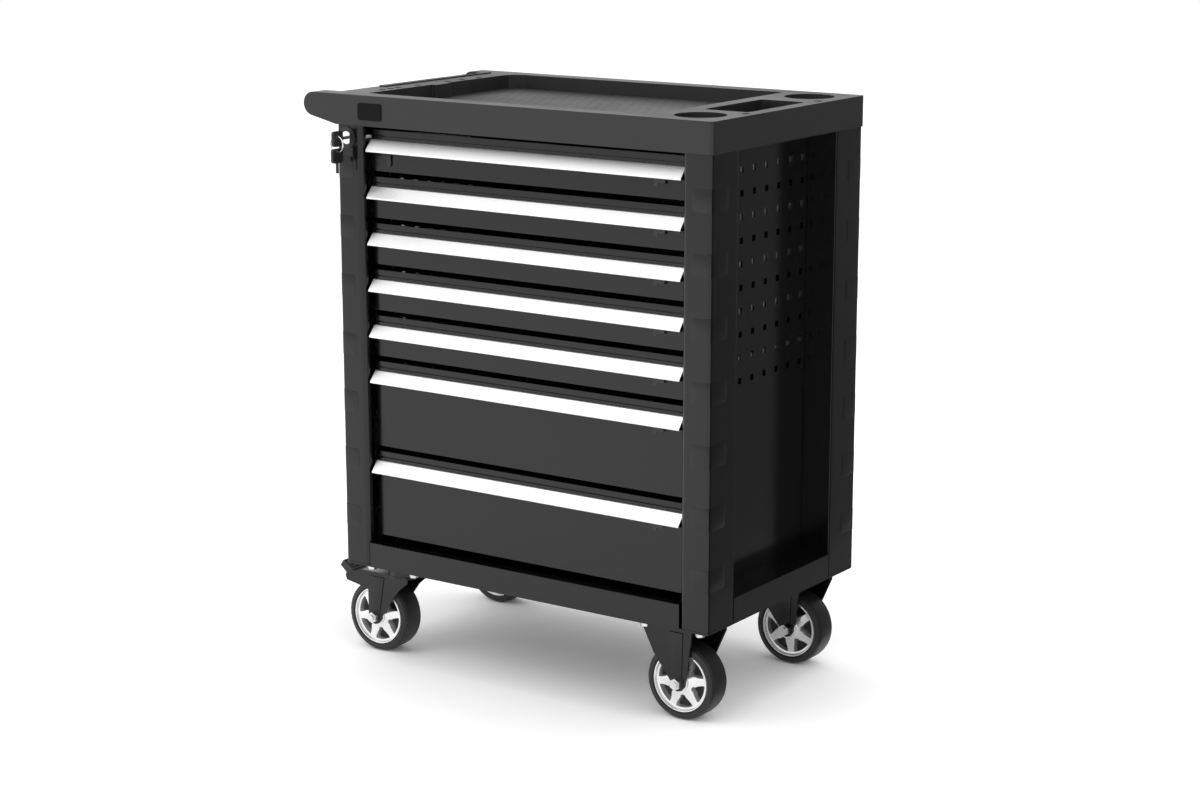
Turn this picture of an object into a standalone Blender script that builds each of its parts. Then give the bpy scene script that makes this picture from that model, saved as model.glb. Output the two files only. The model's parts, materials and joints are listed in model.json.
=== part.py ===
"""A rolling tool cart: a steel cabinet with seven drawers between four corner posts,
a moulded top tray with a push handle, and four casters.

Lengths are in metres. The cabinet is drawn around its own middle, with X to the right,
Y to the back and Z up from the floor, and an empty moves it all so that the middle of
the whole cart's outline stands on the origin.
"""

import math

import bmesh
import bpy
from mathutils import Matrix, Vector

# Cabinet
cabinet_width = 0.739
cabinet_depth = 0.470
tray_top_height = 0.976
tray_height = 0.051
clearance = 0.0003
overrun = 0.002

# Base frame
base_plate_thickness = 0.0037
base_rail_height = 0.043
base_sheet = 0.002

# Corner posts
post_face_width = 0.0535
front_post_depth = 0.078
rear_post_depth = 0.086
post_sheet = 0.002
post_flange = 0.012
post_outer_radius = 0.007
post_inner_radius = 0.009
post_end_radius = 0.003

# Side and back panels
side_recess = 0.0548
panel_sheet = 0.0012
side_panel_setback = 0.0445
back_panel_setback = 0.019
peg_pitch = 0.038
peg_hole = 0.010
peg_columns = 8
peg_rows = 10
top_peg_drop = 0.0446

# Slide racks
upright_sheet = 0.002
upright_width = 0.025
front_upright_setback = 0.070
rear_upright_setback = 0.065
rail_web = 0.002
rail_overlap = 0.001
rail_reach = 0.011
rail_flange = 0.002
rail_setback = 0.052
rail_end_gap = 0.004
runner_height = 0.024
runner_head = 0.002
runner_stem = 0.003
runner_play = 0.0004
runner_side_play = 0.0005
runner_drop = 0.040

# Drawers
drawer_gap = 0.0096
first_drawer_drop = 0.0072
last_drawer_gap = 0.012
single_drawer_count = 5
double_drawer_count = 2
drawer_setback = 0.022
drawer_side_gap = 0.0045
drawer_sheet = 0.0012
lip_height = 0.0087
groove_height = 0.0023
groove_depth = 0.003
front_thickness = 0.014
fold_length = 0.012
wall_drop = 0.011
slide_space = 0.013
drawer_back_gap = 0.040
stop_lug_length = 0.0065
stop_lug_reach = 0.006
stop_lug_drop = 0.018
end_plate_inset = 0.0006
seam_step = 0.0002
floor_rise = 0.0004

# Drawer handles
handle_sheet = 0.0018
handle_inset = 0.0005
handle_top_drop = 0.0157
handle_bottom_drop = 0.0355
handle_top_reach = 0.004
handle_bottom_reach = 0.0205
handle_lip_reach = 0.016
handle_lip_drop = 0.0365
handle_flange_drop = 0.0317
handle_edge_radius = 0.0022

# Drawer latches
latch_from_end = 0.0315
latch_tab_width = 0.020
latch_plate_width = 0.060
latch_plate_height = 0.009
latch_sheet = 0.0015
latch_tab_drop = 0.043
latch_hook_drop = 0.048
latch_hook_width = 0.007
latch_lip_gap = 0.0013

# Top tray
tray_overhang = 0.002
tray_left_rim = 0.016
tray_corner_radius = 0.008
tray_skirt = 0.007
tray_left_skirt = 0.021
tray_deck = 0.004
tray_wall = 0.003
well_left_margin = 0.042
well_right_margin = 0.134
well_front_margin = 0.033
well_rear_margin = 0.034
well_depth = 0.0275
well_radius = 0.006
well_rear_radius = 0.030
jog_middle_offset = -0.0075
jog_length = 0.043
jog_reach = 0.008
jog_radius = 0.003
cup_radius = 0.0415
cup_right_margin = 0.064
cup_inset = 0.068
pocket_width = 0.082
pocket_right_margin = 0.023
pocket_middle_offset = -0.005
pocket_length = 0.178
pocket_radius = 0.008
small_hole_radius = 0.0068
small_hole_right_margin = 0.016
small_hole_offset = 0.1125
tool_hole_radius = 0.0065
tool_hole_x_front = 0.026
tool_hole_x_rear = 0.031
tool_hole_shares = (0.191, 0.236, 0.281, 0.391, 0.564, 0.649, 0.749)
strip_front_margin = 0.131
strip_rear_margin = 0.040
strip_rise = 0.002
strip_inset = 0.002
slot_width = 0.003
slot_front_margin = 0.157
slot_rear_margin = 0.167
pocket_slot_width = 0.008
pocket_slot_front_margin = 0.355
pocket_slot_rear_margin = 0.071
pocket_slot_depth = 0.030

# Push handle
handle_reach = 0.0692
bull_nose_radius = 0.0197
arm_width = 0.035
grip_thickness = 0.031
grip_inset = 0.002
grip_height = 0.028
grip_top_drop = 0.009
grip_radius = 0.0138

# Mat
mat_thickness = 0.0032
mat_gap = 0.0005

# Badge plate
badge_left = 0.0485
badge_width = 0.050
badge_height = 0.0285
badge_drop = 0.0125
badge_thickness = 0.0012
badge_radius = 0.004

# Lock
lock_x = 0.0235
lock_drop = 0.021
bezel_radius = 0.01775
bezel_thickness = 0.0025
barrel_radius = 0.012
barrel_depth = 0.024
plug_radius = 0.0107
plug_proud = 0.0035
crank_radius = 0.013
pin_offset = 0.008
pin_radius = 0.0025
pin_length = 0.006
bar_thickness = 0.003
bar_setback = 0.038
bar_play = 0.0006
bar_margin = 0.004
bar_strip_width = 0.010
bar_strip_x = 0.036
bar_foot_gap = 0.020
hook_height = 0.006
hook_tip_x = 0.0628
hook_gap = 0.0005
key_shaft_radius = 0.0026
key_hole_depth = 0.012
key_shaft_depth = 0.010
key_neck = 0.0146
key_head_length = 0.024
key_head_width = 0.0255
key_head_thickness = 0.005
key_head_radius = 0.004
ring_hole_radius = 0.0027
ring_hole_along = 0.0134
ring_hole_across = 0.0057
spare_hole_margin = 0.0022
spare_shaft_length = 0.017
ring_radius = 0.0133
ring_wire = 0.0009

# Wheels
wheel_radius = 0.0635
tyre_width = 0.048
tyre_shoulder = 0.0065
tyre_edge = 0.0025
rim_radius = 0.051
rim_width = 0.044
rim_band = 0.006
rim_draft = 0.002
rim_web = 0.032
rim_web_taper = 0.003
hub_radius = 0.015
hub_width = 0.049
bore_radius = 0.0065
window_inner = 0.023
window_outer = 0.041
window_outer_half_angle = 18.0
window_end_radius = 0.0035
windows = 6
wheel_steps = 32
rim_steps = 24
front_right_turn = 38.0
left_turn = 40.0
rear_right_turn = 5.0

# Casters
axle_radius = 0.006
axle_head_radius = 0.010
axle_head_length = 0.007
nut_length = 0.009
thread_length = 0.004
leg_inner = 0.027
leg_thickness = 0.003
leg_hub_radius = 0.014
leg_hub_open = 10.0
leg_hole_radius = 0.0063
wheel_inset = 0.063
mount_plate_thickness = 0.003
mount_plate_width = 0.102
bolt_radius = 0.0075
bolt_height = 0.008
bolt_spread = 0.077
swivel_x = 0.084
swivel_trail = 0.050
swivel_plate_length = 0.114
swivel_bolt_spread = 0.092
wheel_crown_gap = 0.0175
raceway_height = 0.0172
crown_sheet = 0.004
crown_left = -0.028
raceway_radius = 0.034
kingpin_radius = 0.006
kingpin_play = 0.0004
kingpin_head_radius = 0.010
kingpin_head_height = 0.005
fixed_wheel_inset = 0.077
fixed_plate_left = -0.072
fixed_plate_right = 0.063
fixed_bolt_spread = 0.105

# Brake pedal
pedal_width = 0.036
pedal_pivot = (-0.040, 0.066)
pedal_boss_radius = 0.006
pedal_pin_radius = 0.003
pedal_pin_play = 0.0004

# Smoothness of the round shapes
arc_steps = 3
small_round_steps = 12
round_steps = 20
cup_steps = 32
tub_steps = 16
nose_steps = 12
sharp_angle = 35.0

# Places worked out from the sizes
left = -cabinet_width / 2
right = cabinet_width / 2
front = -cabinet_depth / 2
rear = cabinet_depth / 2
crown_height = 2 * wheel_radius + wheel_crown_gap
plate_bottom = crown_height + raceway_height
mount_height = plate_bottom + mount_plate_thickness + clearance
tray_underside_height = tray_top_height - tray_height
post_start_height = mount_height + base_plate_thickness + clearance
post_end_height = tray_underside_height - clearance
top_peg_height = tray_underside_height - top_peg_drop
drawer_places = single_drawer_count + 2 * double_drawer_count
drawer_space_top = tray_underside_height - first_drawer_drop + drawer_gap
drawer_space_bottom = mount_height + base_rail_height + last_drawer_gap
drawer_pitch = (drawer_space_top - drawer_space_bottom) / drawer_places
inner_half_width = cabinet_width / 2 - side_recess - panel_sheet
drawer_half_width = cabinet_width / 2 - post_face_width - drawer_side_gap
box_half_width = inner_half_width - slide_space
drawer_front_y = front + drawer_setback
drawer_back_y = rear - drawer_back_gap
runner_front_y = front + side_panel_setback
tray_left = left - tray_left_rim
tray_right = right + tray_overhang
tray_front = front - tray_overhang
tray_rear = rear + tray_overhang
rail_half_inside = runner_height / 2 + runner_play
single_height = drawer_pitch - drawer_gap
double_height = 2 * drawer_pitch - drawer_gap
lock_axis_x = left + lock_x
lock_height = tray_underside_height - lock_drop
ring_y = front - key_neck - ring_hole_along
ring_seat = ring_hole_radius - ring_wire - 2 * clearance
ring_top_z = lock_height + ring_hole_across - ring_seat
ring_bottom_z = ring_top_z - 2 * ring_radius
spare_reach = key_neck + ring_hole_along + key_head_width / 2
pin_drop = pin_offset * math.sin(math.radians(45))
hook_rest_drop = runner_height / 2 + hook_gap + 2 * pin_drop
left_wheel_x = left + swivel_x - swivel_trail
right_wheel_x = right - fixed_wheel_inset
front_wheel_y = front + wheel_inset
rear_wheel_y = rear - wheel_inset
leg_outer = leg_inner + leg_thickness
well_left = left + well_left_margin
well_right = right - well_right_margin
well_front = front + well_front_margin
well_rear = rear - well_rear_margin
jog_front = jog_middle_offset - jog_length / 2
jog_rear = jog_middle_offset + jog_length / 2
cup_x = right - cup_right_margin
pocket_right = right - pocket_right_margin
pocket_left = pocket_right - pocket_width
pocket_front = pocket_middle_offset - pocket_length / 2
pocket_rear = pocket_middle_offset + pocket_length / 2
small_hole_x = right - small_hole_right_margin

# Outline of a swivel fork's leg, seen from the front, measured from the axle
fork_left = (
    (-0.065, 0.065),
    (-0.062, 0.057),
    (-0.034, 0.052),
    (-0.014, 0.047),
)
fork_right = (
    (0.026, 0.012),
    (0.036, 0.031),
    (0.055, 0.056),
    (0.073, 0.071),
)
fork_top_left = (-0.062, 0.072)

# Outlines of a fixed bracket's legs, seen from the front, measured from the axle
bracket_left = (
    (-0.070, 0.090),
    (-0.064, 0.079),
    (-0.046, 0.044),
)
bracket_front_right = (
    (0.018, 0.012),
    (0.026, 0.085),
)
bracket_rear_right = (
    (0.037, 0.042),
    (0.056, 0.085),
)

# Outline of a brake pedal, seen from the front, measured from the axle
pedal_outline = (
    (-0.036, 0.0605),
    (-0.066, 0.060),
    (-0.086, 0.077),
    (-0.079, 0.087),
    (-0.055, 0.0705),
    (-0.036, 0.0715),
)


def clear_scene():
    for obj in list(bpy.data.objects):
        bpy.data.objects.remove(obj, do_unlink=True)


def new_collection(name):
    collection = bpy.data.collections.new(name)
    bpy.context.scene.collection.children.link(collection)
    return collection


clear_scene()
cart_collection = new_collection("tool_cart")
work_collection = new_collection("shaping")
work_collection.hide_render = True


# Materials


def material(name, colour, roughness, metallic):
    made = bpy.data.materials.new(name)
    made.use_nodes = True
    shader = made.node_tree.nodes["Principled BSDF"]
    shader.inputs["Base Color"].default_value = (*colour, 1.0)
    shader.inputs["Roughness"].default_value = roughness
    shader.inputs["Metallic"].default_value = metallic
    return made


# Shapes


def new_piece(mesh):
    """A piece that is still being shaped, out of the render."""
    welded = bmesh.new()
    welded.from_mesh(mesh)
    bmesh.ops.remove_doubles(welded, verts=welded.verts, dist=clearance / 100)
    bmesh.ops.recalc_face_normals(welded, faces=welded.faces)
    welded.to_mesh(mesh)
    welded.free()
    piece = bpy.data.objects.new(mesh.name, mesh)
    piece.hide_render = True
    piece.display_type = "WIRE"
    work_collection.objects.link(piece)
    return piece


def box(low, high):
    """A box between two opposite corners."""
    low = Vector(low)
    size = Vector(high) - low
    shape = bmesh.new()
    bmesh.ops.create_cube(shape, size=1.0)
    bmesh.ops.scale(shape, vec=size, verts=shape.verts)
    bmesh.ops.translate(shape, vec=low + size / 2, verts=shape.verts)
    mesh = bpy.data.meshes.new("box")
    shape.to_mesh(mesh)
    shape.free()
    return new_piece(mesh)


def facing(axis):
    """The turn that takes a shape standing along Z to the axis named."""
    if axis == "X":
        return Matrix(((0, 0, 1), (1, 0, 0), (0, 1, 0))).to_4x4()
    if axis == "Y":
        return Matrix(((1, 0, 0), (0, 0, -1), (0, 1, 0))).to_4x4()
    return Matrix.Identity(4)


def along(axis, first, second, third):
    """A point from its two places across the axis and its place along it."""
    if axis == "X":
        return Vector((third, first, second))
    if axis == "Y":
        return Vector((first, third, second))
    return Vector((first, second, third))


def cylinder(axis, centre, radius, start, end, steps=round_steps):
    """A cylinder round a centre given across its axis, from start to end along it."""
    shape = bmesh.new()
    bmesh.ops.create_cone(
        shape,
        cap_ends=True,
        segments=steps,
        radius1=radius,
        radius2=radius,
        depth=abs(end - start),
    )
    mesh = bpy.data.meshes.new("cylinder")
    shape.to_mesh(mesh)
    shape.free()
    mesh.transform(facing(axis))
    mesh.transform(Matrix.Translation(along(axis, *centre, (start + end) / 2)))
    return new_piece(mesh)


def rounded(corners):
    """The points of an outline whose corners are (across, up, radius)."""
    points = []
    for index, (across, up, radius) in enumerate(corners):
        here = Vector((across, up))
        if radius == 0:
            points.append(here)
            continue
        back = (Vector(corners[index - 1][:2]) - here).normalized()
        ahead = (Vector(corners[(index + 1) % len(corners)][:2]) - here).normalized()
        half = back.angle(ahead) / 2
        centre = here + (back + ahead).normalized() * (radius / math.sin(half))
        spoke = here + back * (radius / math.tan(half)) - centre
        turn = (math.pi - 2 * half) * (1 if back.cross(ahead) < 0 else -1)
        for step in range(arc_steps + 1):
            points.append(centre + Matrix.Rotation(turn * step / arc_steps, 2) @ spoke)
    return points


def ribbon(corners, thickness):
    """A folded sheet's outline: an open path, and the same path one sheet to its left."""
    path = rounded(corners)
    inner = []
    for index, point in enumerate(path):
        before = path[max(index - 1, 0)]
        after = path[min(index + 1, len(path) - 1)]
        into = (point - before).normalized() if index else (after - point).normalized()
        out = (after - point).normalized() if index < len(path) - 1 else into
        into_side = Vector((-into.y, into.x))
        out_side = Vector((-out.y, out.x))
        middle = (into_side + out_side).normalized()
        inner.append(point + middle * (thickness / middle.dot(into_side)))
    return path + inner[::-1]


def rectangle(low_across, low_up, high_across, high_up, radius=0.0):
    return rounded(
        [
            (low_across, low_up, radius),
            (high_across, low_up, radius),
            (high_across, high_up, radius),
            (low_across, high_up, radius),
        ]
    )


def circle(centre, radius, steps, start=0.0):
    return [
        Vector(centre)
        + Vector((radius, 0)) @ Matrix.Rotation(start + 2 * math.pi * step / steps, 2)
        for step in range(steps)
    ]


def slab(axis, outlines, start, end):
    """A flat shape from start to end along an axis. Inner outlines are holes."""
    curve = bpy.data.curves.new("outline", "CURVE")
    curve.dimensions = "2D"
    curve.fill_mode = "BOTH"
    curve.extrude = abs(end - start) / 2
    for outline in outlines:
        spline = curve.splines.new("POLY")
        spline.points.add(len(outline) - 1)
        for place, point in zip(spline.points, outline):
            place.co = (point[0], point[1], 0.0, 1.0)
        spline.use_cyclic_u = True
    guide = bpy.data.objects.new("outline", curve)
    work_collection.objects.link(guide)
    guide.matrix_world = (
        Matrix.Translation(along(axis, 0, 0, (start + end) / 2)) @ facing(axis)
    )
    bpy.context.view_layer.update()
    graph = bpy.context.evaluated_depsgraph_get()
    mesh = bpy.data.meshes.new_from_object(guide.evaluated_get(graph))
    mesh.transform(guide.matrix_world)
    bpy.data.objects.remove(guide, do_unlink=True)
    return new_piece(mesh)


def turned(axis, centre, profile, steps, middle=0.0):
    """A closed profile of (radius, place along the axis), turned about the axis."""
    mesh = bpy.data.meshes.new("turned")
    points = [(radius, 0.0, place) for radius, place in profile]
    loop = range(len(points))
    mesh.from_pydata(points, [(i, (i + 1) % len(points)) for i in loop], [])
    guide = bpy.data.objects.new("turned", mesh)
    work_collection.objects.link(guide)
    screw = guide.modifiers.new("turn", "SCREW")
    screw.steps = steps
    screw.render_steps = steps
    screw.use_merge_vertices = True
    screw.merge_threshold = clearance / 10
    bpy.context.view_layer.update()
    graph = bpy.context.evaluated_depsgraph_get()
    made = bpy.data.meshes.new_from_object(guide.evaluated_get(graph))
    bpy.data.objects.remove(guide, do_unlink=True)
    made.transform(facing(axis))
    made.transform(Matrix.Translation(along(axis, *centre, middle)))
    return new_piece(made)


def combined(body, others, operation):
    """One piece out of several, by a Boolean with each of the others in turn."""
    for other in others:
        boolean = body.modifiers.new("boolean", "BOOLEAN")
        boolean.operation = operation
        boolean.object = other
    bpy.context.view_layer.update()
    graph = bpy.context.evaluated_depsgraph_get()
    mesh = bpy.data.meshes.new_from_object(body.evaluated_get(graph))
    for old in [body, *others]:
        bpy.data.objects.remove(old, do_unlink=True)
    return new_piece(mesh)


def joined(first, *others):
    return combined(first, others, "UNION")


def cut(body, *cutters):
    return combined(body, cutters, "DIFFERENCE")


def part(name, mesh, origin, look):
    """A named sub-part of the cart with its origin where it turns, slides or sits."""
    obj = bpy.data.objects.new(name, mesh)
    obj.location = origin
    obj.parent = cart
    cart_collection.objects.link(obj)
    if not mesh.materials:
        mesh.materials.append(look)
    return obj


def finished(piece, origin):
    """The mesh of a shaped piece, moved so that its origin is the one given."""
    mesh = piece.data
    mesh.transform(Matrix.Translation(-Vector(origin)))
    mesh.shade_smooth()
    mesh.set_sharp_from_angle(angle=math.radians(sharp_angle))
    bpy.data.objects.remove(piece, do_unlink=True)
    return mesh


def add(name, piece, origin, look):
    return part(name, finished(piece, origin), origin, look)


def mirrored(points, across=1, up=1):
    """An outline turned over, left to right or front to back."""
    return [Vector((point[0] * across, point[1] * up)) for point in points]


# Base frame


def base_frame():
    """A plate under the whole cabinet with a folded rail along each side."""
    bottom = mount_height
    top = mount_height + base_rail_height
    plate_top = mount_height + base_plate_thickness
    plate = slab(
        "Z",
        [rectangle(left, front, right, rear, post_outer_radius)],
        bottom,
        plate_top,
    )
    rails = []
    for side in (-1, 1):
        end_y = side * cabinet_depth / 2
        path = [
            (end_y, bottom + base_plate_thickness / 2, 0),
            (end_y, top, 0),
            (end_y - side * (back_panel_setback - clearance), top, 0),
        ]
        reach = cabinet_width / 2 - post_face_width - clearance
        rails.append(slab("X", [ribbon(path, side * base_sheet)], -reach, reach))
        end_x = side * cabinet_width / 2
        flange = side_recess - clearance
        path = [
            (end_x, bottom + base_plate_thickness / 2, 0),
            (end_x, top, 0),
            (end_x - side * flange, top, 0),
        ]
        start = front + front_post_depth + clearance
        end = rear - rear_post_depth - clearance
        rails.append(slab("Y", [ribbon(path, side * base_sheet)], start, end))
    add("base_frame", joined(plate, *rails), (0, 0, bottom), black_paint)


# Corner posts


def corner_posts():
    """Folded channels, open towards the cabinet. The left front one holds the lock."""
    for end_name, end, depth in (
        ("front", -1, front_post_depth),
        ("rear", 1, rear_post_depth),
    ):
        path = [
            (post_face_width, post_flange, 0),
            (post_face_width, 0, post_inner_radius),
            (0, 0, post_outer_radius),
            (0, depth, post_end_radius),
            (side_recess - clearance, depth, 0),
        ]
        section = ribbon(path, -post_sheet)
        for side_name, side in (("left", -1), ("right", 1)):
            corner = Vector((side * cabinet_width / 2, end * cabinet_depth / 2))
            outline = [corner + p for p in mirrored(section, -side, -end)]
            post = slab("Z", [outline], post_start_height, post_end_height)
            if (end_name, side_name) == ("front", "left"):
                hole = cylinder(
                    "Y",
                    (lock_axis_x, lock_height),
                    barrel_radius + clearance,
                    front - overrun,
                    front + post_sheet + overrun,
                )
                post = cut(post, hole)
            origin = (corner.x, corner.y, post_start_height)
            add(f"post_{end_name}_{side_name}", post, origin, black_paint)


# Side and back panels


def peg_board():
    """The outline of a side panel, seen from the side, and its square holes."""
    start = front + side_panel_setback
    end = rear - back_panel_setback
    outlines = [rectangle(start, post_start_height, end, post_end_height)]
    for column in range(peg_columns):
        y = (column - (peg_columns - 1) / 2) * peg_pitch
        for row in range(peg_rows):
            z = top_peg_height - row * peg_pitch
            half = peg_hole / 2
            outlines.append(rectangle(y - half, z - half, y + half, z + half))
    return outlines


def panels():
    board = peg_board()
    for side_name, side in (("left", -1), ("right", 1)):
        outer = side * (cabinet_width / 2 - side_recess)
        inner = side * inner_half_width
        panel = slab("X", board, outer, inner)
        origin = (outer, 0, post_start_height)
        add(f"side_panel_{side_name}", panel, origin, black_paint)
    half = inner_half_width - clearance
    outer_y = rear - back_panel_setback
    back = box(
        (-half, outer_y - panel_sheet, post_start_height),
        (half, outer_y, post_end_height),
    )
    add("back_panel", back, (0, outer_y, post_start_height), black_paint)


# Drawer places


def lip_tops():
    """The height of each drawer's top edge, from the top drawer down."""
    top = tray_underside_height - first_drawer_drop
    heights = [single_height] * single_drawer_count + [double_height] * double_drawer_count
    places = []
    for height in heights:
        places.append(top)
        top -= height + drawer_gap
    return places


# Slide racks


def ordered_box(one, other):
    """A box between two opposite corners given in any order."""
    low = [min(a, b) for a, b in zip(one, other)]
    high = [max(a, b) for a, b in zip(one, other)]
    return box(low, high)


def rail_outline(side, middle):
    """A rail seen from the front: a channel open towards the drawer."""
    outside = rail_half_inside + rail_flange
    root = clearance + upright_sheet - rail_overlap
    section = (
        (root, -outside),
        (rail_reach, -outside),
        (rail_reach, -rail_half_inside),
        (root + rail_web, -rail_half_inside),
        (root + rail_web, rail_half_inside),
        (rail_reach, rail_half_inside),
        (rail_reach, outside),
        (root, outside),
    )
    wall = Vector((side * inner_half_width, middle))
    return [wall + point for point in mirrored(section, -side)]


def slide_racks():
    """Two uprights and a rail for each drawer, on the inside of each side panel."""
    rear_end = rear - back_panel_setback - panel_sheet - rail_end_gap
    for side_name, side in (("left", -1), ("right", 1)):
        outer = side * (inner_half_width - clearance)
        inner = outer - side * upright_sheet
        pieces = []
        for y in (front + front_upright_setback, rear - rear_upright_setback):
            low = (outer, y, post_start_height)
            high = (inner, y + upright_width, post_end_height)
            pieces.append(ordered_box(low, high))
        for lip_top in lip_tops():
            outline = rail_outline(side, lip_top - runner_drop)
            pieces.append(slab("Y", [outline], front + rail_setback, rear_end))
        origin = (outer, 0, post_start_height)
        add(f"slide_rack_{side_name}", joined(*pieces), origin, zinc)


# Drawers


def drawer_front(height):
    """The folded front: a lip, a groove, the face, and an inner wall behind it."""
    y = drawer_front_y
    inner_y = y + front_thickness
    groove = lip_height + groove_height
    path = [
        (y + fold_length, 0, 0),
        (y, 0, 0),
        (y, -lip_height, 0),
        (y + groove_depth, -lip_height, 0),
        (y + groove_depth, -groove, 0),
        (y, -groove, 0),
        (y, -height, 0),
        (inner_y, -height, 0),
        (inner_y, -wall_drop, 0),
    ]
    return slab(
        "X",
        [ribbon(path, drawer_sheet)],
        -drawer_half_width,
        drawer_half_width,
    )


def drawer_body(height):
    """One drawer with its top edge at height zero, its box and both its runners."""
    inner_y = drawer_front_y + front_thickness
    floor = -height + floor_rise
    outer = box(
        (-box_half_width, inner_y - drawer_sheet / 2, floor),
        (box_half_width, drawer_back_y, -wall_drop),
    )
    hollow = box(
        (-box_half_width + drawer_sheet, inner_y - seam_step, floor + drawer_sheet),
        (box_half_width - drawer_sheet, drawer_back_y - drawer_sheet, overrun),
    )
    pieces = [drawer_front(height)]
    for side in (-1, 1):
        end = side * (drawer_half_width - seam_step)
        plate = ordered_box(
            (end, drawer_front_y + end_plate_inset, -end_plate_inset),
            (
                end - side * drawer_sheet,
                inner_y - end_plate_inset,
                -height + end_plate_inset,
            ),
        )
        pieces.append(plate)
        pieces.append(runner(side))
    return joined(cut(outer, hollow), *pieces)


def runner(side):
    """A runner along a drawer's side, with the stop lug that the lock's hook meets."""
    gap = clearance + upright_sheet - rail_overlap + rail_web + runner_side_play
    head = side * (inner_half_width - gap)
    neck = head - side * runner_head
    wall = side * (box_half_width - drawer_sheet / 2)
    half = runner_height / 2
    outline = [
        (head, -runner_drop - half),
        (head, -runner_drop + half),
        (neck, -runner_drop + half),
        (neck, -runner_drop + runner_stem / 2),
        (wall, -runner_drop + runner_stem / 2),
        (wall, -runner_drop - runner_stem / 2),
        (neck, -runner_drop - runner_stem / 2),
        (neck, -runner_drop - half),
    ]
    rail = slab("Y", [outline], runner_front_y, drawer_back_y)
    lug = ordered_box(
        (
            head - side * seam_step,
            runner_front_y + seam_step,
            -runner_drop - stop_lug_drop,
        ),
        (
            head - side * stop_lug_reach,
            runner_front_y + stop_lug_length,
            -runner_drop - runner_stem,
        ),
    )
    return joined(rail, lug)


def drawer_handle():
    """A folded strip: a flange on the drawer's face and an inclined pull."""
    y = drawer_front_y
    path = [
        (y - clearance, -handle_flange_drop, 0),
        (y - clearance, -handle_top_drop, 0),
        (y - handle_top_reach, -handle_top_drop, handle_edge_radius),
        (y - handle_bottom_reach, -handle_bottom_drop, handle_edge_radius),
        (y - handle_lip_reach, -handle_lip_drop, 0),
    ]
    half = drawer_half_width - handle_inset
    return slab("X", [ribbon(path, handle_sheet)], -half, half)


def drawer_latch():
    """A plate on the drawer's face, under the handle's flange, with a finger tab."""
    y = drawer_front_y - clearance
    top = -handle_flange_drop - clearance
    tab_right = drawer_half_width - latch_from_end
    tab_left = tab_right - latch_tab_width
    tab_front = drawer_front_y - handle_lip_reach + latch_lip_gap
    spare = (latch_plate_width - latch_tab_width) / 2
    plate = box(
        (tab_left - spare, y - latch_sheet, top - latch_plate_height),
        (tab_right + spare, y, top),
    )
    web = box(
        (tab_left, tab_front, top - latch_sheet),
        (tab_right, y, top),
    )
    tab = slab(
        "Y",
        [
            [
                (tab_left, top),
                (tab_left, -latch_hook_drop),
                (tab_left + latch_hook_width, -latch_hook_drop),
                (tab_left + latch_hook_width, -latch_tab_drop),
                (tab_right, -latch_tab_drop),
                (tab_right, top),
            ]
        ],
        tab_front,
        tab_front + latch_sheet,
    )
    return joined(plate, web, tab)


def drawers():
    """Seven drawers, each with its handle and its latch, from the top one down."""
    home = Vector((0, drawer_front_y, 0))
    single = finished(drawer_body(single_height), home)
    double = finished(drawer_body(double_height), home)
    handle = finished(drawer_handle(), home)
    latch_home = Vector((drawer_half_width - latch_from_end, drawer_front_y, 0))
    latch = finished(drawer_latch(), latch_home)
    bodies = [single] * single_drawer_count + [double] * double_drawer_count
    for number, (body, lip_top) in enumerate(zip(bodies, lip_tops()), 1):
        lift = Vector((0, 0, lip_top))
        part(f"drawer_{number}", body, home + lift, black_paint)
        part(f"drawer_{number}_handle", handle, home + lift, aluminium)
        part(f"drawer_{number}_latch", latch, latch_home + lift, black_plastic)


# Top tray


def well_outline(inset, radius_change=0.0):
    """The tool well from above, with the step in its left wall."""
    x = well_left + inset
    far_x = well_right - inset
    y = well_front + inset
    far_y = well_rear - inset
    near_jog = jog_front - inset
    far_jog = jog_rear + inset
    small = well_radius + radius_change
    return rounded(
        [
            (x, y, small),
            (far_x, y, small),
            (far_x, far_y, small),
            (x, far_y, well_rear_radius + radius_change),
            (x, far_jog, jog_radius),
            (x + jog_reach, far_jog, jog_radius),
            (x + jog_reach, near_jog, jog_radius),
            (x, near_jog, jog_radius),
        ]
    )


def tray_block():
    """The tray's outer shape with its arms: round at the left, slanting up below."""
    nose = Vector(
        (left - handle_reach + bull_nose_radius, tray_top_height - bull_nose_radius)
    )
    corner = Vector((left, tray_underside_height))
    away = corner - nose
    tangent = math.atan2(away.y, away.x) - math.acos(bull_nose_radius / away.length)
    turn = 2 * math.pi + tangent - math.pi / 2
    profile = [
        corner,
        (tray_right + overrun, tray_underside_height),
        (tray_right + overrun, tray_top_height),
    ]
    for step in range(nose_steps + 1):
        angle = math.pi / 2 + turn * step / nose_steps
        profile.append(
            nose + bull_nose_radius * Vector((math.cos(angle), math.sin(angle)))
        )
    block = slab("Y", [profile], tray_front - overrun, tray_rear + overrun)
    far_left = left - handle_reach - overrun
    plan = slab(
        "Z",
        [
            rounded(
                [
                    (far_left, tray_front, 0),
                    (tray_right, tray_front, tray_corner_radius),
                    (tray_right, tray_rear, tray_corner_radius),
                    (far_left, tray_rear, 0),
                ]
            )
        ],
        tray_underside_height - overrun,
        tray_top_height + overrun,
    )
    gap = box(
        (far_left, tray_front + arm_width, tray_underside_height - overrun),
        (tray_left, tray_rear - arm_width, tray_top_height + overrun),
    )
    return cut(combined(block, [plan], "INTERSECT"), gap)


def push_grip():
    """The bar between the two arms."""
    low_x = left - handle_reach + grip_inset
    high_z = tray_top_height - grip_top_drop
    section = rectangle(
        low_x,
        high_z - grip_height,
        low_x + grip_thickness,
        high_z,
        grip_radius,
    )
    inside = arm_width / 2
    return slab("Y", [section], tray_front + inside, tray_rear - inside)


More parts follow.
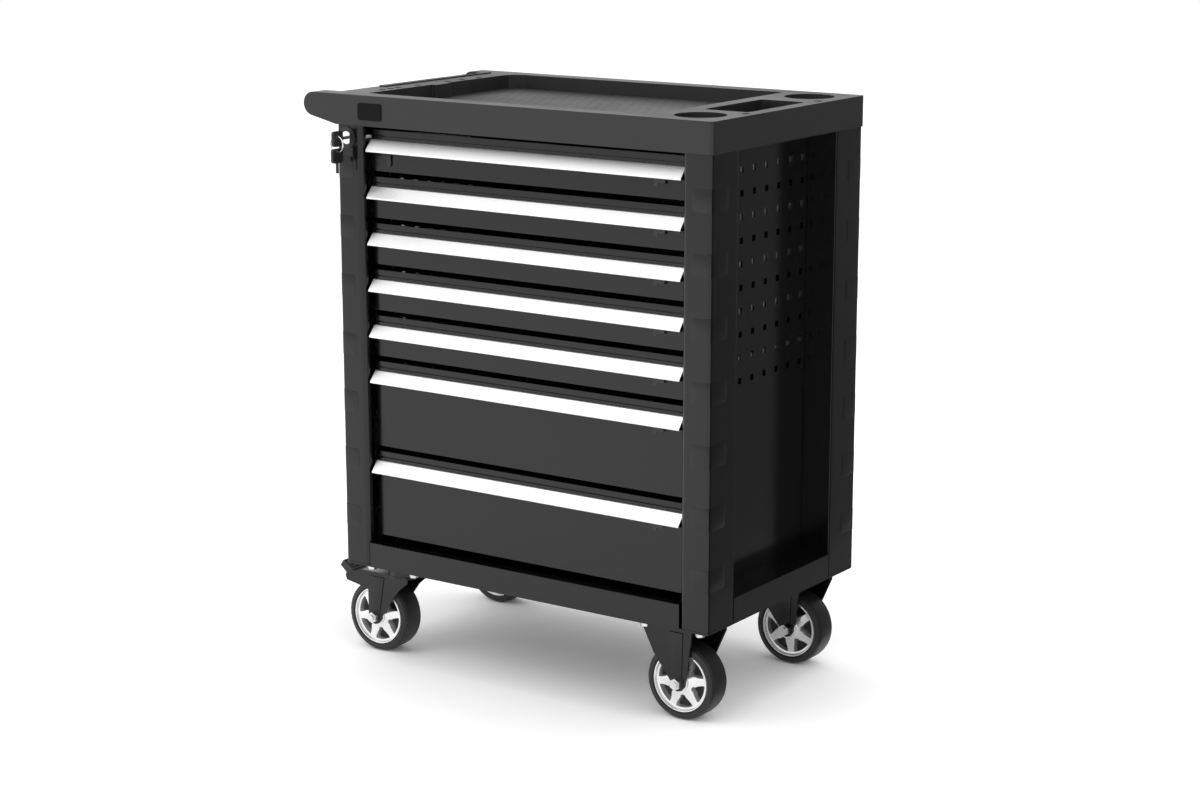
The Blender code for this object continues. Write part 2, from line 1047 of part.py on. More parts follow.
def tray_hollow():
    """The space under the deck, inside the skirt."""
    return box(
        (
            tray_left + tray_left_skirt,
            tray_front + tray_skirt,
            tray_underside_height - overrun,
        ),
        (
            tray_right - tray_skirt,
            tray_rear - tray_skirt,
            tray_top_height - tray_deck,
        ),
    )


def tray_tubs():
    """The walls round the well, the cup holes and the pocket, below the deck."""
    deck_middle = tray_top_height - tray_deck / 2
    tub_bottom = tray_top_height - well_depth - tray_wall
    pieces = [
        slab("Z", [well_outline(-tray_wall, tray_wall)], tub_bottom, deck_middle)
    ]
    for y in (front + cup_inset, rear - cup_inset):
        pieces.append(
            cylinder(
                "Z",
                (cup_x, y),
                cup_radius + tray_wall,
                tray_underside_height,
                deck_middle,
                tub_steps,
            )
        )
    pocket = rectangle(
        pocket_left - tray_wall,
        pocket_front - tray_wall,
        pocket_right + tray_wall,
        pocket_rear + tray_wall,
        pocket_radius + tray_wall,
    )
    pieces.append(slab("Z", [pocket], tray_underside_height, deck_middle))
    return pieces


def tray_cutters():
    """The insides of the well, the cup holes and the pocket, and the small holes."""
    over = tray_top_height + overrun
    tub_floor = tray_underside_height + tray_wall
    cutters = [slab("Z", [well_outline(0)], tray_top_height - well_depth, over)]
    for y in (front + cup_inset, rear - cup_inset):
        centre = (cup_x, y)
        cutters.append(cylinder("Z", centre, cup_radius, tub_floor, over, cup_steps))
    pocket = rectangle(
        pocket_left,
        pocket_front,
        pocket_right,
        pocket_rear,
        pocket_radius,
    )
    cutters.append(slab("Z", [pocket], tub_floor, over))
    under_deck = tray_top_height - tray_deck - overrun
    for y in (-small_hole_offset, small_hole_offset):
        cutters.append(
            cylinder(
                "Z",
                (small_hole_x, y),
                small_hole_radius,
                under_deck,
                over,
                small_round_steps,
            )
        )
    span = tool_hole_shares[-1] - tool_hole_shares[0]
    for share in tool_hole_shares:
        along_row = (share - tool_hole_shares[0]) / span
        x = tool_hole_x_front + (tool_hole_x_rear - tool_hole_x_front) * along_row
        cutters.append(
            cylinder(
                "Z",
                (left + x, front + cabinet_depth * share),
                tool_hole_radius,
                under_deck,
                over,
                small_round_steps,
            )
        )
    strip_middle = left - tray_left_rim / 2
    for near, far, width in (
        (slot_front_margin, slot_rear_margin, slot_width),
        (pocket_slot_front_margin, pocket_slot_rear_margin, pocket_slot_width),
    ):
        cutters.append(
            box(
                (
                    strip_middle - width / 2,
                    front + near,
                    tray_top_height - pocket_slot_depth,
                ),
                (strip_middle + width / 2, rear - far, over + strip_rise),
            )
        )
    return cutters


def top_tray():
    """The moulded top: deck, skirt, tubs, tool strip and push handle in one piece."""
    shell = cut(tray_block(), tray_hollow())
    strip = box(
        (
            tray_left + strip_inset,
            front + strip_front_margin,
            tray_top_height - tray_deck / 2,
        ),
        (left, rear - strip_rear_margin, tray_top_height + strip_rise),
    )
    whole = joined(shell, *tray_tubs(), strip, push_grip())
    tray = cut(whole, *tray_cutters())
    add("top_tray", tray, (0, 0, tray_underside_height), tray_plastic)
    floor = tray_top_height - well_depth + clearance
    mat = slab("Z", [well_outline(mat_gap)], floor, floor + mat_thickness)
    add("tray_mat", mat, (0, 0, floor), rubber)


def blank_badge():
    """A plain plate on the tray's front, near its left end."""
    x = left + badge_left
    top = tray_top_height - badge_drop
    outline = rectangle(
        x, top - badge_height, x + badge_width, top, badge_radius
    )
    face = tray_front - clearance
    badge = slab("Y", [outline], face - badge_thickness, face)
    add("blank_badge", badge, (x, face, top), aluminium)


# Lock


def lock_barrel():
    flange = cylinder(
        "Y",
        (lock_axis_x, lock_height),
        bezel_radius,
        front - clearance - bezel_thickness,
        front - clearance,
        round_steps,
    )
    sleeve = cylinder(
        "Y",
        (lock_axis_x, lock_height),
        barrel_radius,
        front - clearance - bezel_thickness / 2,
        front + barrel_depth,
    )
    bore = cylinder(
        "Y",
        (lock_axis_x, lock_height),
        plug_radius + clearance,
        front - bezel_thickness - overrun,
        front + barrel_depth + overrun,
    )
    origin = (lock_axis_x, front, lock_height)
    add("lock_barrel", cut(joined(flange, sleeve), bore), origin, black_plastic)


def crank_pin_centre():
    """Where the pin stands when the lock is open: low, on the post's outer side."""
    return lock_axis_x - pin_drop, lock_height - pin_drop


def lock_plug():
    """The part that turns: its face, its keyhole, the crank behind and its pin."""
    centre = (lock_axis_x, lock_height)
    crank_end = front + bar_setback - clearance
    body = cylinder(
        "Y", centre, plug_radius, front - plug_proud, crank_end - crank_radius / 2
    )
    crank = cylinder(
        "Y", centre, crank_radius, front + barrel_depth + clearance, crank_end
    )
    pin = cylinder(
        "Y",
        crank_pin_centre(),
        pin_radius,
        crank_end - pin_length / 2,
        crank_end + pin_length,
        small_round_steps,
    )
    keyhole = cylinder(
        "Y",
        centre,
        key_shaft_radius + clearance,
        front - plug_proud - overrun,
        front + key_hole_depth,
        small_round_steps,
    )
    origin = (lock_axis_x, front, lock_height)
    add("lock_plug", cut(joined(body, crank, pin), keyhole), origin, chrome)


def lock_bar():
    """A bar behind the left front post's face. The pin lifts it, and its hooks then
    stand in front of the drawers' stop lugs."""
    y = front + bar_setback
    pin_x, pin_z = crank_pin_centre()
    slot_low = lock_axis_x - pin_offset - pin_radius - bar_play
    slot_high = pin_x + pin_radius + bar_play
    strip_left = left + bar_strip_x
    strip_right = strip_left + bar_strip_width
    half_slot = pin_radius + bar_play
    head = box(
        (slot_low - bar_margin, y, pin_z - half_slot - bar_margin),
        (strip_right, y + bar_thickness, pin_z + half_slot + bar_margin),
    )
    slot = box(
        (slot_low, y - overrun, pin_z - half_slot),
        (slot_high, y + bar_thickness + overrun, pin_z + half_slot),
    )
    strip = box(
        (strip_left, y, post_start_height + bar_foot_gap),
        (strip_right, y + bar_thickness, pin_z),
    )
    hooks = []
    for lip_top in lip_tops():
        hook_top = lip_top - runner_drop - hook_rest_drop
        hooks.append(
            box(
                (strip_right - bar_margin, y, hook_top - hook_height),
                (left + hook_tip_x, y + bar_thickness, hook_top),
            )
        )
    bar = joined(cut(head, slot), strip, *hooks)
    add("lock_bar", bar, (strip_left, y, pin_z), zinc)


def key_shape(hole_along, hole_across, shaft_depth):
    """A key with its neck at the origin, its head along -Y and its shaft along +Y."""
    half = key_head_width / 2
    head = slab(
        "X",
        [
            rectangle(-key_head_length, -half, 0, half, key_head_radius),
            circle((-hole_along, hole_across), ring_hole_radius, small_round_steps),
        ],
        -key_head_thickness / 2,
        key_head_thickness / 2,
    )
    shaft = cylinder(
        "Y",
        (0, 0),
        key_shaft_radius,
        -key_head_radius,
        shaft_depth,
        small_round_steps,
    )
    return joined(head, shaft)


def keys():
    """The key in the lock, the ring through its head, and the spare key on the ring."""
    key = key_shape(ring_hole_along, ring_hole_across, key_neck + key_shaft_depth)
    mesh = finished(key, (0, 0, 0))
    mesh.transform(Matrix.Translation((0, -key_neck, 0)))
    part("key", mesh, (lock_axis_x, front, lock_height), black_plastic)
    bpy.ops.mesh.primitive_torus_add(
        major_radius=ring_radius,
        minor_radius=ring_wire,
        major_segments=round_steps,
        minor_segments=6,
    )
    torus = bpy.context.object
    torus.data.transform(facing("Y"))
    torus.data.transform(
        Matrix.Translation((lock_axis_x, ring_y, ring_top_z - ring_radius))
    )
    ring = new_piece(torus.data.copy())
    bpy.data.objects.remove(torus, do_unlink=True)
    add("key_ring", ring, (lock_axis_x, ring_y, ring_top_z), chrome)
    hole_along = key_head_length - ring_hole_radius - spare_hole_margin
    spare = key_shape(hole_along, 0, spare_shaft_length)
    mesh = finished(spare, (0, -hole_along + ring_seat, 0))
    mesh.transform(Matrix.Rotation(math.radians(-90), 4, "X"))
    part("spare_key", mesh, (lock_axis_x, ring_y, ring_bottom_z), black_plastic)


# Wheels


def tyre_mesh():
    half = tyre_width / 2
    inner = rim_radius
    profile = [
        (inner, half - tyre_edge),
        (inner + tyre_edge, half),
        (wheel_radius - tyre_shoulder, half - tyre_edge / 2),
        (wheel_radius, half - tyre_shoulder),
        (wheel_radius, -half + tyre_shoulder),
        (wheel_radius - tyre_shoulder, -half + tyre_edge / 2),
        (inner + tyre_edge, -half),
        (inner, -half + tyre_edge),
    ]
    tyre = turned("Y", (0, 0), profile, wheel_steps)
    return finished(tyre, (0, 0, 0))


def window_outline(turn):
    """One opening between two spokes: wide at the rim and round at the hub."""
    half_angle = math.radians(window_outer_half_angle)
    points = []
    for step in range(arc_steps + 1):
        angle = turn - half_angle + 2 * half_angle * step / arc_steps
        points.append(
            Vector((window_outer * math.cos(angle), window_outer * math.sin(angle)))
        )
    centre = Vector(
        (
            (window_inner + window_end_radius) * math.cos(turn),
            (window_inner + window_end_radius) * math.sin(turn),
        )
    )
    for step in range(arc_steps + 1):
        angle = turn + math.pi / 2 + math.pi * step / arc_steps
        points.append(
            centre + window_end_radius * Vector((math.cos(angle), math.sin(angle)))
        )
    return points


def rim_mesh():
    half_hub = hub_width / 2
    half_rim = rim_width / 2
    half_web = rim_web / 2
    outer = rim_radius - clearance
    band = outer - rim_band
    side = [
        (bore_radius, half_hub),
        (hub_radius, half_hub),
        (hub_radius + rim_draft, half_web),
        (band - rim_draft, half_web - rim_web_taper),
        (band, half_rim),
        (outer, half_rim),
    ]
    profile = side + [(radius, -place) for radius, place in reversed(side)]
    rim = turned("Y", (0, 0), profile, rim_steps)
    openings = []
    for number in range(windows):
        turn = 2 * math.pi * number / windows
        openings.append(slab("Y", [window_outline(turn)], -half_rim, half_rim))
    return finished(cut(rim, *openings), (0, 0, 0))


def wheels():
    """A tyre and a rim on each axle, turned as they stand."""
    tyre = tyre_mesh()
    rim = rim_mesh()
    for name, x, y, turn in (
        ("front_left", left_wheel_x, front_wheel_y, left_turn),
        ("rear_left", left_wheel_x, rear_wheel_y, left_turn),
        ("front_right", right_wheel_x, front_wheel_y, front_right_turn),
        ("rear_right", right_wheel_x, rear_wheel_y, rear_right_turn),
    ):
        centre = (x, y, wheel_radius)
        part(f"tyre_{name}", tyre, centre, tyre_rubber)
        hub = part(f"rim_{name}", rim, centre, rim_plastic)
        hub.rotation_euler.y = -math.radians(turn)


def axle_piece(x, y):
    """An axle bolt: a hexagon head behind, and a nut and the thread's end in front."""
    centre = (x, wheel_radius)
    front_face = y - leg_outer - clearance
    rear_face = y + leg_outer + clearance
    tip = front_face - nut_length - thread_length
    shank = cylinder(
        "Y", centre, axle_radius, tip, rear_face + axle_head_length / 2
    )
    nut = cylinder(
        "Y", centre, axle_head_radius, front_face - nut_length, front_face, 6
    )
    head = cylinder(
        "Y", centre, axle_head_radius, rear_face, rear_face + axle_head_length, 6
    )
    return joined(shank, nut, head)


def leg_outline(x, left_side, right_side, top):
    """A leg's outline round its hub. Its points are measured from the axle."""
    hub = []
    start = math.radians(180 - leg_hub_open)
    end = math.radians(360 + leg_hub_open)
    for step in range(2 * arc_steps + 1):
        angle = start + (end - start) * step / (2 * arc_steps)
        hub.append(
            Vector((leg_hub_radius * math.cos(angle), leg_hub_radius * math.sin(angle)))
        )
    points = [*left_side, *hub, *right_side, *top]
    return [Vector((x + point[0], wheel_radius + point[1])) for point in points]


def leg(x, y, side, left_side, right_side, top):
    """A leg with the axle's hole in it. Its side is -1 in front of the wheel."""
    outline = leg_outline(x, left_side, right_side, top)
    hole = circle((x, wheel_radius), leg_hole_radius, small_round_steps)
    inner = y + side * leg_inner
    outer = y + side * leg_outer
    return slab("Y", [outline, hole], inner, outer)


def bolt_heads(x, y, long_spread, cross_spread):
    """Four hexagon heads under a mount plate."""
    heads = []
    for along_sign in (-1, 1):
        for cross_sign in (-1, 1):
            centre = (
                x + along_sign * long_spread / 2,
                y + cross_sign * cross_spread / 2,
            )
            heads.append(
                cylinder(
                    "Z",
                    centre,
                    bolt_radius,
                    plate_bottom - bolt_height,
                    plate_bottom + mount_plate_thickness / 2,
                    6,
                )
            )
    return heads


def swivel_casters():
    """The two casters on the handle's side: mount, fork, axle bolt and brake pedal."""
    pivot_x = left + swivel_x
    x = left_wheel_x
    crown_bottom = crown_height - crown_sheet
    for name, y in (("front", front_wheel_y), ("rear", rear_wheel_y)):
        plate = box(
            (
                pivot_x - swivel_plate_length / 2,
                y - mount_plate_width / 2,
                plate_bottom,
            ),
            (
                pivot_x + swivel_plate_length / 2,
                y + mount_plate_width / 2,
                plate_bottom + mount_plate_thickness,
            ),
        )
        raceway = cylinder(
            "Z",
            (pivot_x, y),
            raceway_radius,
            crown_height + clearance,
            plate_bottom + mount_plate_thickness / 2,
        )
        head_top = crown_bottom - clearance
        kingpin = cylinder(
            "Z",
            (pivot_x, y),
            kingpin_radius,
            head_top - kingpin_head_height / 2,
            plate_bottom,
            small_round_steps,
        )
        pin_head = cylinder(
            "Z",
            (pivot_x, y),
            kingpin_head_radius,
            head_top - kingpin_head_height,
            head_top,
            small_round_steps,
        )
        bolts = bolt_heads(pivot_x, y, swivel_bolt_spread, bolt_spread)
        mount = joined(plate, raceway, kingpin, pin_head, *bolts)
        origin = (pivot_x, y, plate_bottom + mount_plate_thickness)
        add(f"swivel_mount_{name}", mount, origin, black_paint)
        swivel_fork(name, x, pivot_x, y, crown_bottom)
        axle = axle_piece(x, y)
        add(f"axle_{name}_left", axle, (x, y, wheel_radius), zinc)
        pedal(name, x, y)


def swivel_fork(name, x, pivot_x, y, crown_bottom):
    crown_rise = crown_height - wheel_radius
    top = [
        (fork_right[-1][0], crown_rise - crown_sheet / 2),
        (crown_left, crown_rise - crown_sheet / 2),
        fork_top_left,
    ]
    sides = [leg(x, y, side, fork_left, fork_right, top) for side in (-1, 1)]
    crown = box(
        (x + crown_left, y - leg_outer, crown_bottom),
        (x + fork_right[-1][0], y + leg_outer, crown_height),
    )
    disc = cylinder(
        "Z",
        (pivot_x, y),
        raceway_radius,
        crown_bottom,
        crown_height,
    )
    pin = cylinder(
        "Y",
        (x + pedal_pivot[0], wheel_radius + pedal_pivot[1]),
        pedal_pin_radius,
        y - leg_inner - leg_thickness / 2,
        y + leg_inner + leg_thickness / 2,
        small_round_steps,
    )
    hole = cylinder(
        "Z",
        (pivot_x, y),
        kingpin_radius + kingpin_play,
        crown_bottom - overrun,
        crown_height + overrun,
        small_round_steps,
    )
    fork = cut(joined(crown, disc, *sides, pin), hole)
    add(f"swivel_fork_{name}", fork, (pivot_x, y, crown_height), black_paint)


def pedal(name, x, y):
    """A ridged tread on an arm that turns on the pin between the fork's legs."""
    pivot = (x + pedal_pivot[0], wheel_radius + pedal_pivot[1])
    outline = [(x + point[0], wheel_radius + point[1]) for point in pedal_outline]
    half = pedal_width / 2
    arm = slab("Y", [outline], y - half, y + half)
    boss = cylinder("Y", pivot, pedal_boss_radius, y - half, y + half, small_round_steps)
    hole = cylinder(
        "Y",
        pivot,
        pedal_pin_radius + pedal_pin_play,
        y - half - overrun,
        y + half + overrun,
        small_round_steps,
    )
    lever = cut(joined(arm, boss), hole)
    origin = (pivot[0], y, pivot[1])
    add(f"brake_pedal_{name}", lever, origin, black_plastic)


def fixed_casters():
    """The two casters on the other side: a bracket and its axle bolt."""
    x = right_wheel_x
    for name, y in (("front", front_wheel_y), ("rear", rear_wheel_y)):
        plate = box(
            (x + fixed_plate_left, y - mount_plate_width / 2, plate_bottom),
            (
                x + fixed_plate_right,
                y + mount_plate_width / 2,
                plate_bottom + mount_plate_thickness,
            ),
        )
        rise = plate_bottom + mount_plate_thickness / 2 - wheel_radius
        sides = []
        for side, right_side in ((-1, bracket_front_right), (1, bracket_rear_right)):
            top = [(right_side[-1][0], rise), (bracket_left[0][0], rise)]
            sides.append(leg(x, y, side, bracket_left, right_side, top))
        middle = x + (fixed_plate_left + fixed_plate_right) / 2
        bolts = bolt_heads(middle, y, fixed_bolt_spread, bolt_spread)
        bracket = joined(plate, *sides, *bolts)
        origin = (x, y, plate_bottom + mount_plate_thickness)
        add(f"fixed_bracket_{name}", bracket, origin, black_paint)
        axle = axle_piece(x, y)
        add(f"axle_{name}_right", axle, (x, y, wheel_radius), zinc)


black_paint = material("black_paint", (0.012, 0.012, 0.013), 0.30, 0.0)
tray_plastic = material("tray_plastic", (0.020, 0.020, 0.021), 0.45, 0.0)
black_plastic = material("black_plastic", (0.010, 0.010, 0.010), 0.40, 0.0)
rubber = material("rubber", (0.030, 0.030, 0.031), 0.80, 0.0)
tyre_rubber = material("tyre_rubber", (0.018, 0.018, 0.019), 0.60, 0.0)
rim_plastic = material("rim_plastic", (0.720, 0.720, 0.730), 0.35, 0.0)
aluminium = material("aluminium", (0.800, 0.810, 0.820), 0.30, 1.0)
chrome = material("chrome", (0.850, 0.850, 0.860), 0.12, 1.0)
zinc = material("zinc", (0.600, 0.610, 0.620), 0.35, 1.0)

cart = bpy.data.objects.new("cart", None)
cart.location.x = (handle_reach - tray_overhang) / 2
cart.location.y = (spare_reach - tray_overhang) / 2
cart_collection.objects.link(cart)

base_frame()
corner_posts()
panels()
slide_racks()
drawers()
top_tray()
blank_badge()
lock_barrel()
lock_plug()
lock_bar()
keys()
wheels()
swivel_casters()
fixed_casters()
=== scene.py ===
"""Finishes for a rolling tool cart: paint, pressed details, drawer trim, keys, wheels
and studio. Lengths are in metres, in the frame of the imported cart."""

import json
import math

import bmesh
import bpy
from bpy.props import FloatProperty, FloatVectorProperty, IntProperty, PointerProperty
from mathutils import Matrix, Vector


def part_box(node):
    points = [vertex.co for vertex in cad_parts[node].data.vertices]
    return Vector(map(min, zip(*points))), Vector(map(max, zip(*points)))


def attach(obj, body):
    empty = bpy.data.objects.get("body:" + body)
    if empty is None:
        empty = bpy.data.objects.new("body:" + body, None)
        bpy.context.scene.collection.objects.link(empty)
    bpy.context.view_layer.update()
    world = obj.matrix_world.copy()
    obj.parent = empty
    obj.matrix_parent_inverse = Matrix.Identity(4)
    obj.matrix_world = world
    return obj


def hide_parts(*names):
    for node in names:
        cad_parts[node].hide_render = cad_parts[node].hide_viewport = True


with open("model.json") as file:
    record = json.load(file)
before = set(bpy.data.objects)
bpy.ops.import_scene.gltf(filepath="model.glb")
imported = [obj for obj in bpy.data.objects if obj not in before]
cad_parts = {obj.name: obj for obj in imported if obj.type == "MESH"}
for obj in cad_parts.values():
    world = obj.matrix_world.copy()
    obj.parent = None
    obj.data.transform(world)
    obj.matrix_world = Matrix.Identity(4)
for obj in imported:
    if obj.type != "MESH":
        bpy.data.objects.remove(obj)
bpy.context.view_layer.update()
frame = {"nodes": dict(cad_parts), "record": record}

bl_info = {
    "name": "Tool cart finishes",
    "version": (1, 0, 0),
    "blender": (4, 5, 0),
    "location": "3D View > Sidebar > Tool Cart",
    "description": "Gives the packed tool cart its paint, trim, wheels and studio",
    "category": "Object",
}

DRAWERS = range(1, 8)
ENDS = ("front", "rear")
SIDES = ("left", "right")
WHEELS = ("front_left", "front_right", "rear_left", "rear_right")
STEEL_NODES = ("base_frame", "side_panel_left", "side_panel_right", "back_panel")


class PaintSettings(bpy.types.PropertyGroup):
    """The black paint on the steel."""

    colour: FloatVectorProperty(
        name="Paint colour",
        description="Colour of the cabinet's paint",
        subtype="COLOR",
        size=3,
        min=0.0,
        max=1.0,
        default=(0.0025, 0.0025, 0.0027),
    )
    roughness: FloatProperty(
        name="Paint roughness",
        description="How dull the paint is",
        subtype="FACTOR",
        min=0.0,
        max=1.0,
        default=0.17,
    )
    edge: FloatProperty(
        name="Sheet edge radius",
        description="Radius of the small round edges of the folded sheet",
        subtype="DISTANCE",
        unit="LENGTH",
        min=0.0,
        default=0.0006,
    )
    boss_height: FloatProperty(
        name="Pressed rectangle height",
        description="Height of each pressed rectangle round a post's corner",
        subtype="DISTANCE",
        unit="LENGTH",
        min=0.0,
        default=0.0374,
    )
    boss_rise: FloatProperty(
        name="Pressed rectangle rise",
        description="How far a pressed rectangle stands off the post",
        subtype="DISTANCE",
        unit="LENGTH",
        min=0.0,
        default=0.0003,
    )
    boss_pitch: FloatProperty(
        name="Pressed rectangle pitch",
        description="Distance from one pressed rectangle to the next",
        subtype="DISTANCE",
        unit="LENGTH",
        min=0.0,
        default=0.1004,
    )
    boss_count: IntProperty(
        name="Pressed rectangles",
        description="Number of pressed rectangles on a post",
        min=0,
        default=7,
    )


class TraySettings(bpy.types.PropertyGroup):
    """The moulded top tray and its mat."""

    colour: FloatVectorProperty(
        name="Tray colour",
        description="Colour of the moulded tray",
        subtype="COLOR",
        size=3,
        min=0.0,
        max=1.0,
        default=(0.013, 0.013, 0.0135),
    )
    grain: FloatProperty(
        name="Grain size",
        description="Size of the moulded grain",
        subtype="DISTANCE",
        unit="LENGTH",
        min=0.0001,
        default=0.0012,
    )
    mat_colour: FloatVectorProperty(
        name="Mat colour",
        description="Colour of the ribbed mat",
        subtype="COLOR",
        size=3,
        min=0.0,
        max=1.0,
        default=(0.022, 0.022, 0.023),
    )
    mat_tile: FloatProperty(
        name="Mat tile",
        description="Size of one square of the mat's pattern",
        subtype="DISTANCE",
        unit="LENGTH",
        min=0.001,
        default=0.020,
    )


class TrimSettings(bpy.types.PropertyGroup):
    """The handles, their end caps and their marks."""

    handle_colour: FloatVectorProperty(
        name="Handle colour",
        description="Colour of the anodised handle strips",
        subtype="COLOR",
        size=3,
        min=0.0,
        max=1.0,
        default=(0.90, 0.905, 0.91),
    )
    handle_roughness: FloatProperty(
        name="Handle roughness",
        description="How dull the handle strips are",
        subtype="FACTOR",
        min=0.0,
        max=1.0,
        default=0.34,
    )
    cap_thickness: FloatProperty(
        name="End cap thickness",
        description="Thickness of the cap that closes a handle's end",
        subtype="DISTANCE",
        unit="LENGTH",
        min=0.0,
        default=0.0012,
    )
    mark_height: FloatProperty(
        name="Padlock mark height",
        description="Height of the open padlock printed on each handle",
        subtype="DISTANCE",
        unit="LENGTH",
        min=0.0,
        default=0.0135,
    )


class WheelSettings(bpy.types.PropertyGroup):
    """The tyres and the rims."""

    rim_colour: FloatVectorProperty(
        name="Rim colour",
        description="Colour of the silver rims",
        subtype="COLOR",
        size=3,
        min=0.0,
        max=1.0,
        default=(0.90, 0.90, 0.91),
    )
    tyre_colour: FloatVectorProperty(
        name="Tyre colour",
        description="Colour of the tyres",
        subtype="COLOR",
        size=3,
        min=0.0,
        max=1.0,
        default=(0.010, 0.010, 0.0105),
    )
    windows: IntProperty(
        name="Windows",
        description="Number of openings in a rim",
        min=2,
        default=6,
    )
    window_angle: FloatProperty(
        name="Window half angle",
        description="Half the angle that a window spans at the rim",
        subtype="ANGLE",
        unit="ROTATION",
        default=math.radians(21.5),
    )
    smoothness: IntProperty(
        name="Steps round a wheel",
        description="Number of faces round a tyre or a rim",
        min=24,
        default=96,
    )


class StudioSettings(bpy.types.PropertyGroup):
    """The floor, the lamps and the sky."""

    floor_colour: FloatVectorProperty(
        name="Floor colour",
        description="Colour of the floor as it is seen, where 1 is white in even light",
        subtype="COLOR",
        size=3,
        min=0.0,
        max=2.0,
        default=(1.24, 1.24, 1.24),
    )
    sky: FloatProperty(
        name="Sky strength",
        description="Strength of the even light from the studio's walls",
        min=0.0,
        default=0.95,
    )
    key_power: FloatProperty(
        name="Key lamp power",
        description="Power of the large lamp at the front",
        subtype="POWER",
        unit="POWER",
        min=0.0,
        default=26.0,
    )


class CartSettings(bpy.types.PropertyGroup):
    """All the settings of the tool cart."""

    paint: PointerProperty(type=PaintSettings)
    tray: PointerProperty(type=TraySettings)
    trim: PointerProperty(type=TrimSettings)
    wheels: PointerProperty(type=WheelSettings)
    studio: PointerProperty(type=StudioSettings)


def settings():
    """The settings of the scene that is dressed."""
    return bpy.context.scene.tool_cart


# Shader groups


def new_group(name, inputs, outputs):
    """A shader node group with its sockets, its input node and its output node."""
    group = bpy.data.node_groups.new(name, "ShaderNodeTree")
    for label, kind, default in inputs:
        socket = group.interface.new_socket(label, in_out="INPUT", socket_type=kind)
        socket.default_value = default
    for label, kind in outputs:
        group.interface.new_socket(label, in_out="OUTPUT", socket_type=kind)
    return group, group.nodes.new("NodeGroupInput"), group.nodes.new("NodeGroupOutput")


def math_socket(group, operation, *inputs):
    """The result of a sum on two sockets or numbers."""
    sum_node = group.nodes.new("ShaderNodeMath")
    sum_node.operation = operation
    for given, socket in zip(inputs, sum_node.inputs):
        if isinstance(given, float):
            socket.default_value = given
        else:
            group.links.new(given, socket)
    return sum_node.outputs[0]


def wandering_roughness(group, given, result, fac, *limits):
    """Spreads a noise from the low roughness to the high one."""
    spread = group.nodes.new("ShaderNodeMapRange")
    for label, limit in zip(("From Min", "From Max"), limits):
        spread.inputs[label].default_value = limit
    group.links.new(fac, spread.inputs["Value"])
    group.links.new(given.outputs["Low roughness"], spread.inputs["To Min"])
    group.links.new(given.outputs["High roughness"], spread.inputs["To Max"])
    group.links.new(spread.outputs["Result"], result.inputs["Roughness"])


def grain_group():
    """A fine even grain: its height, and a roughness that wanders over patches."""
    if "Surface grain" in bpy.data.node_groups:
        return bpy.data.node_groups["Surface grain"]
    group, given, result = new_group(
        "Surface grain",
        (
            ("Grain size", "NodeSocketFloat", 0.001),
            ("Patch size", "NodeSocketFloat", 0.2),
            ("Low roughness", "NodeSocketFloat", 0.25),
            ("High roughness", "NodeSocketFloat", 0.35),
        ),
        (("Height", "NodeSocketFloat"), ("Roughness", "NodeSocketFloat")),
    )
    nodes = group.nodes
    link = group.links.new
    place = nodes.new("ShaderNodeTexCoord")
    for label, detail in (("Grain size", 3.0), ("Patch size", 2.0)):
        noise = nodes.new("ShaderNodeTexNoise")
        noise.inputs["Detail"].default_value = detail
        link(place.outputs["Object"], noise.inputs["Vector"])
        inverse = math_socket(group, "DIVIDE", 1.0, given.outputs[label])
        link(inverse, noise.inputs["Scale"])
        if label == "Grain size":
            link(noise.outputs["Fac"], result.inputs["Height"])
        else:
            wandering_roughness(group, given, result, noise.outputs["Fac"], 0.3, 0.7)
    return group


def dust_group():
    """A trace of dust: a paler colour in soft patches on what faces up."""
    if "Trace of dust" in bpy.data.node_groups:
        return bpy.data.node_groups["Trace of dust"]
    group, given, result = new_group(
        "Trace of dust",
        (
            ("Colour", "NodeSocketColor", (0.02, 0.02, 0.02, 1.0)),
            ("Dust colour", "NodeSocketColor", (0.20, 0.19, 0.18, 1.0)),
            ("Amount", "NodeSocketFloat", 0.03),
        ),
        (("Colour", "NodeSocketColor"),),
    )
    nodes = group.nodes
    link = group.links.new
    place = nodes.new("ShaderNodeTexCoord")
    noise = nodes.new("ShaderNodeTexNoise")
    noise.inputs["Scale"].default_value = 9.0
    noise.inputs["Detail"].default_value = 6.0
    link(place.outputs["Object"], noise.inputs["Vector"])
    shape = nodes.new("ShaderNodeNewGeometry")
    split = nodes.new("ShaderNodeSeparateXYZ")
    link(shape.outputs["Normal"], split.inputs["Vector"])
    upward = nodes.new("ShaderNodeMapRange")
    upward.inputs["From Min"].default_value = 0.2
    upward.inputs["From Max"].default_value = 1.0
    upward.inputs["To Min"].default_value = 0.25
    upward.inputs["To Max"].default_value = 1.0
    link(split.outputs["Z"], upward.inputs["Value"])
    patches = math_socket(
        group, "MULTIPLY", noise.outputs["Fac"], upward.outputs["Result"]
    )
    share = math_socket(group, "MULTIPLY", patches, given.outputs["Amount"])
    mix = nodes.new("ShaderNodeMix")
    mix.data_type = "RGBA"
    link(share, mix.inputs[0])
    link(given.outputs["Colour"], mix.inputs[6])
    link(given.outputs["Dust colour"], mix.inputs[7])
    link(mix.outputs[2], result.inputs["Colour"])
    return group


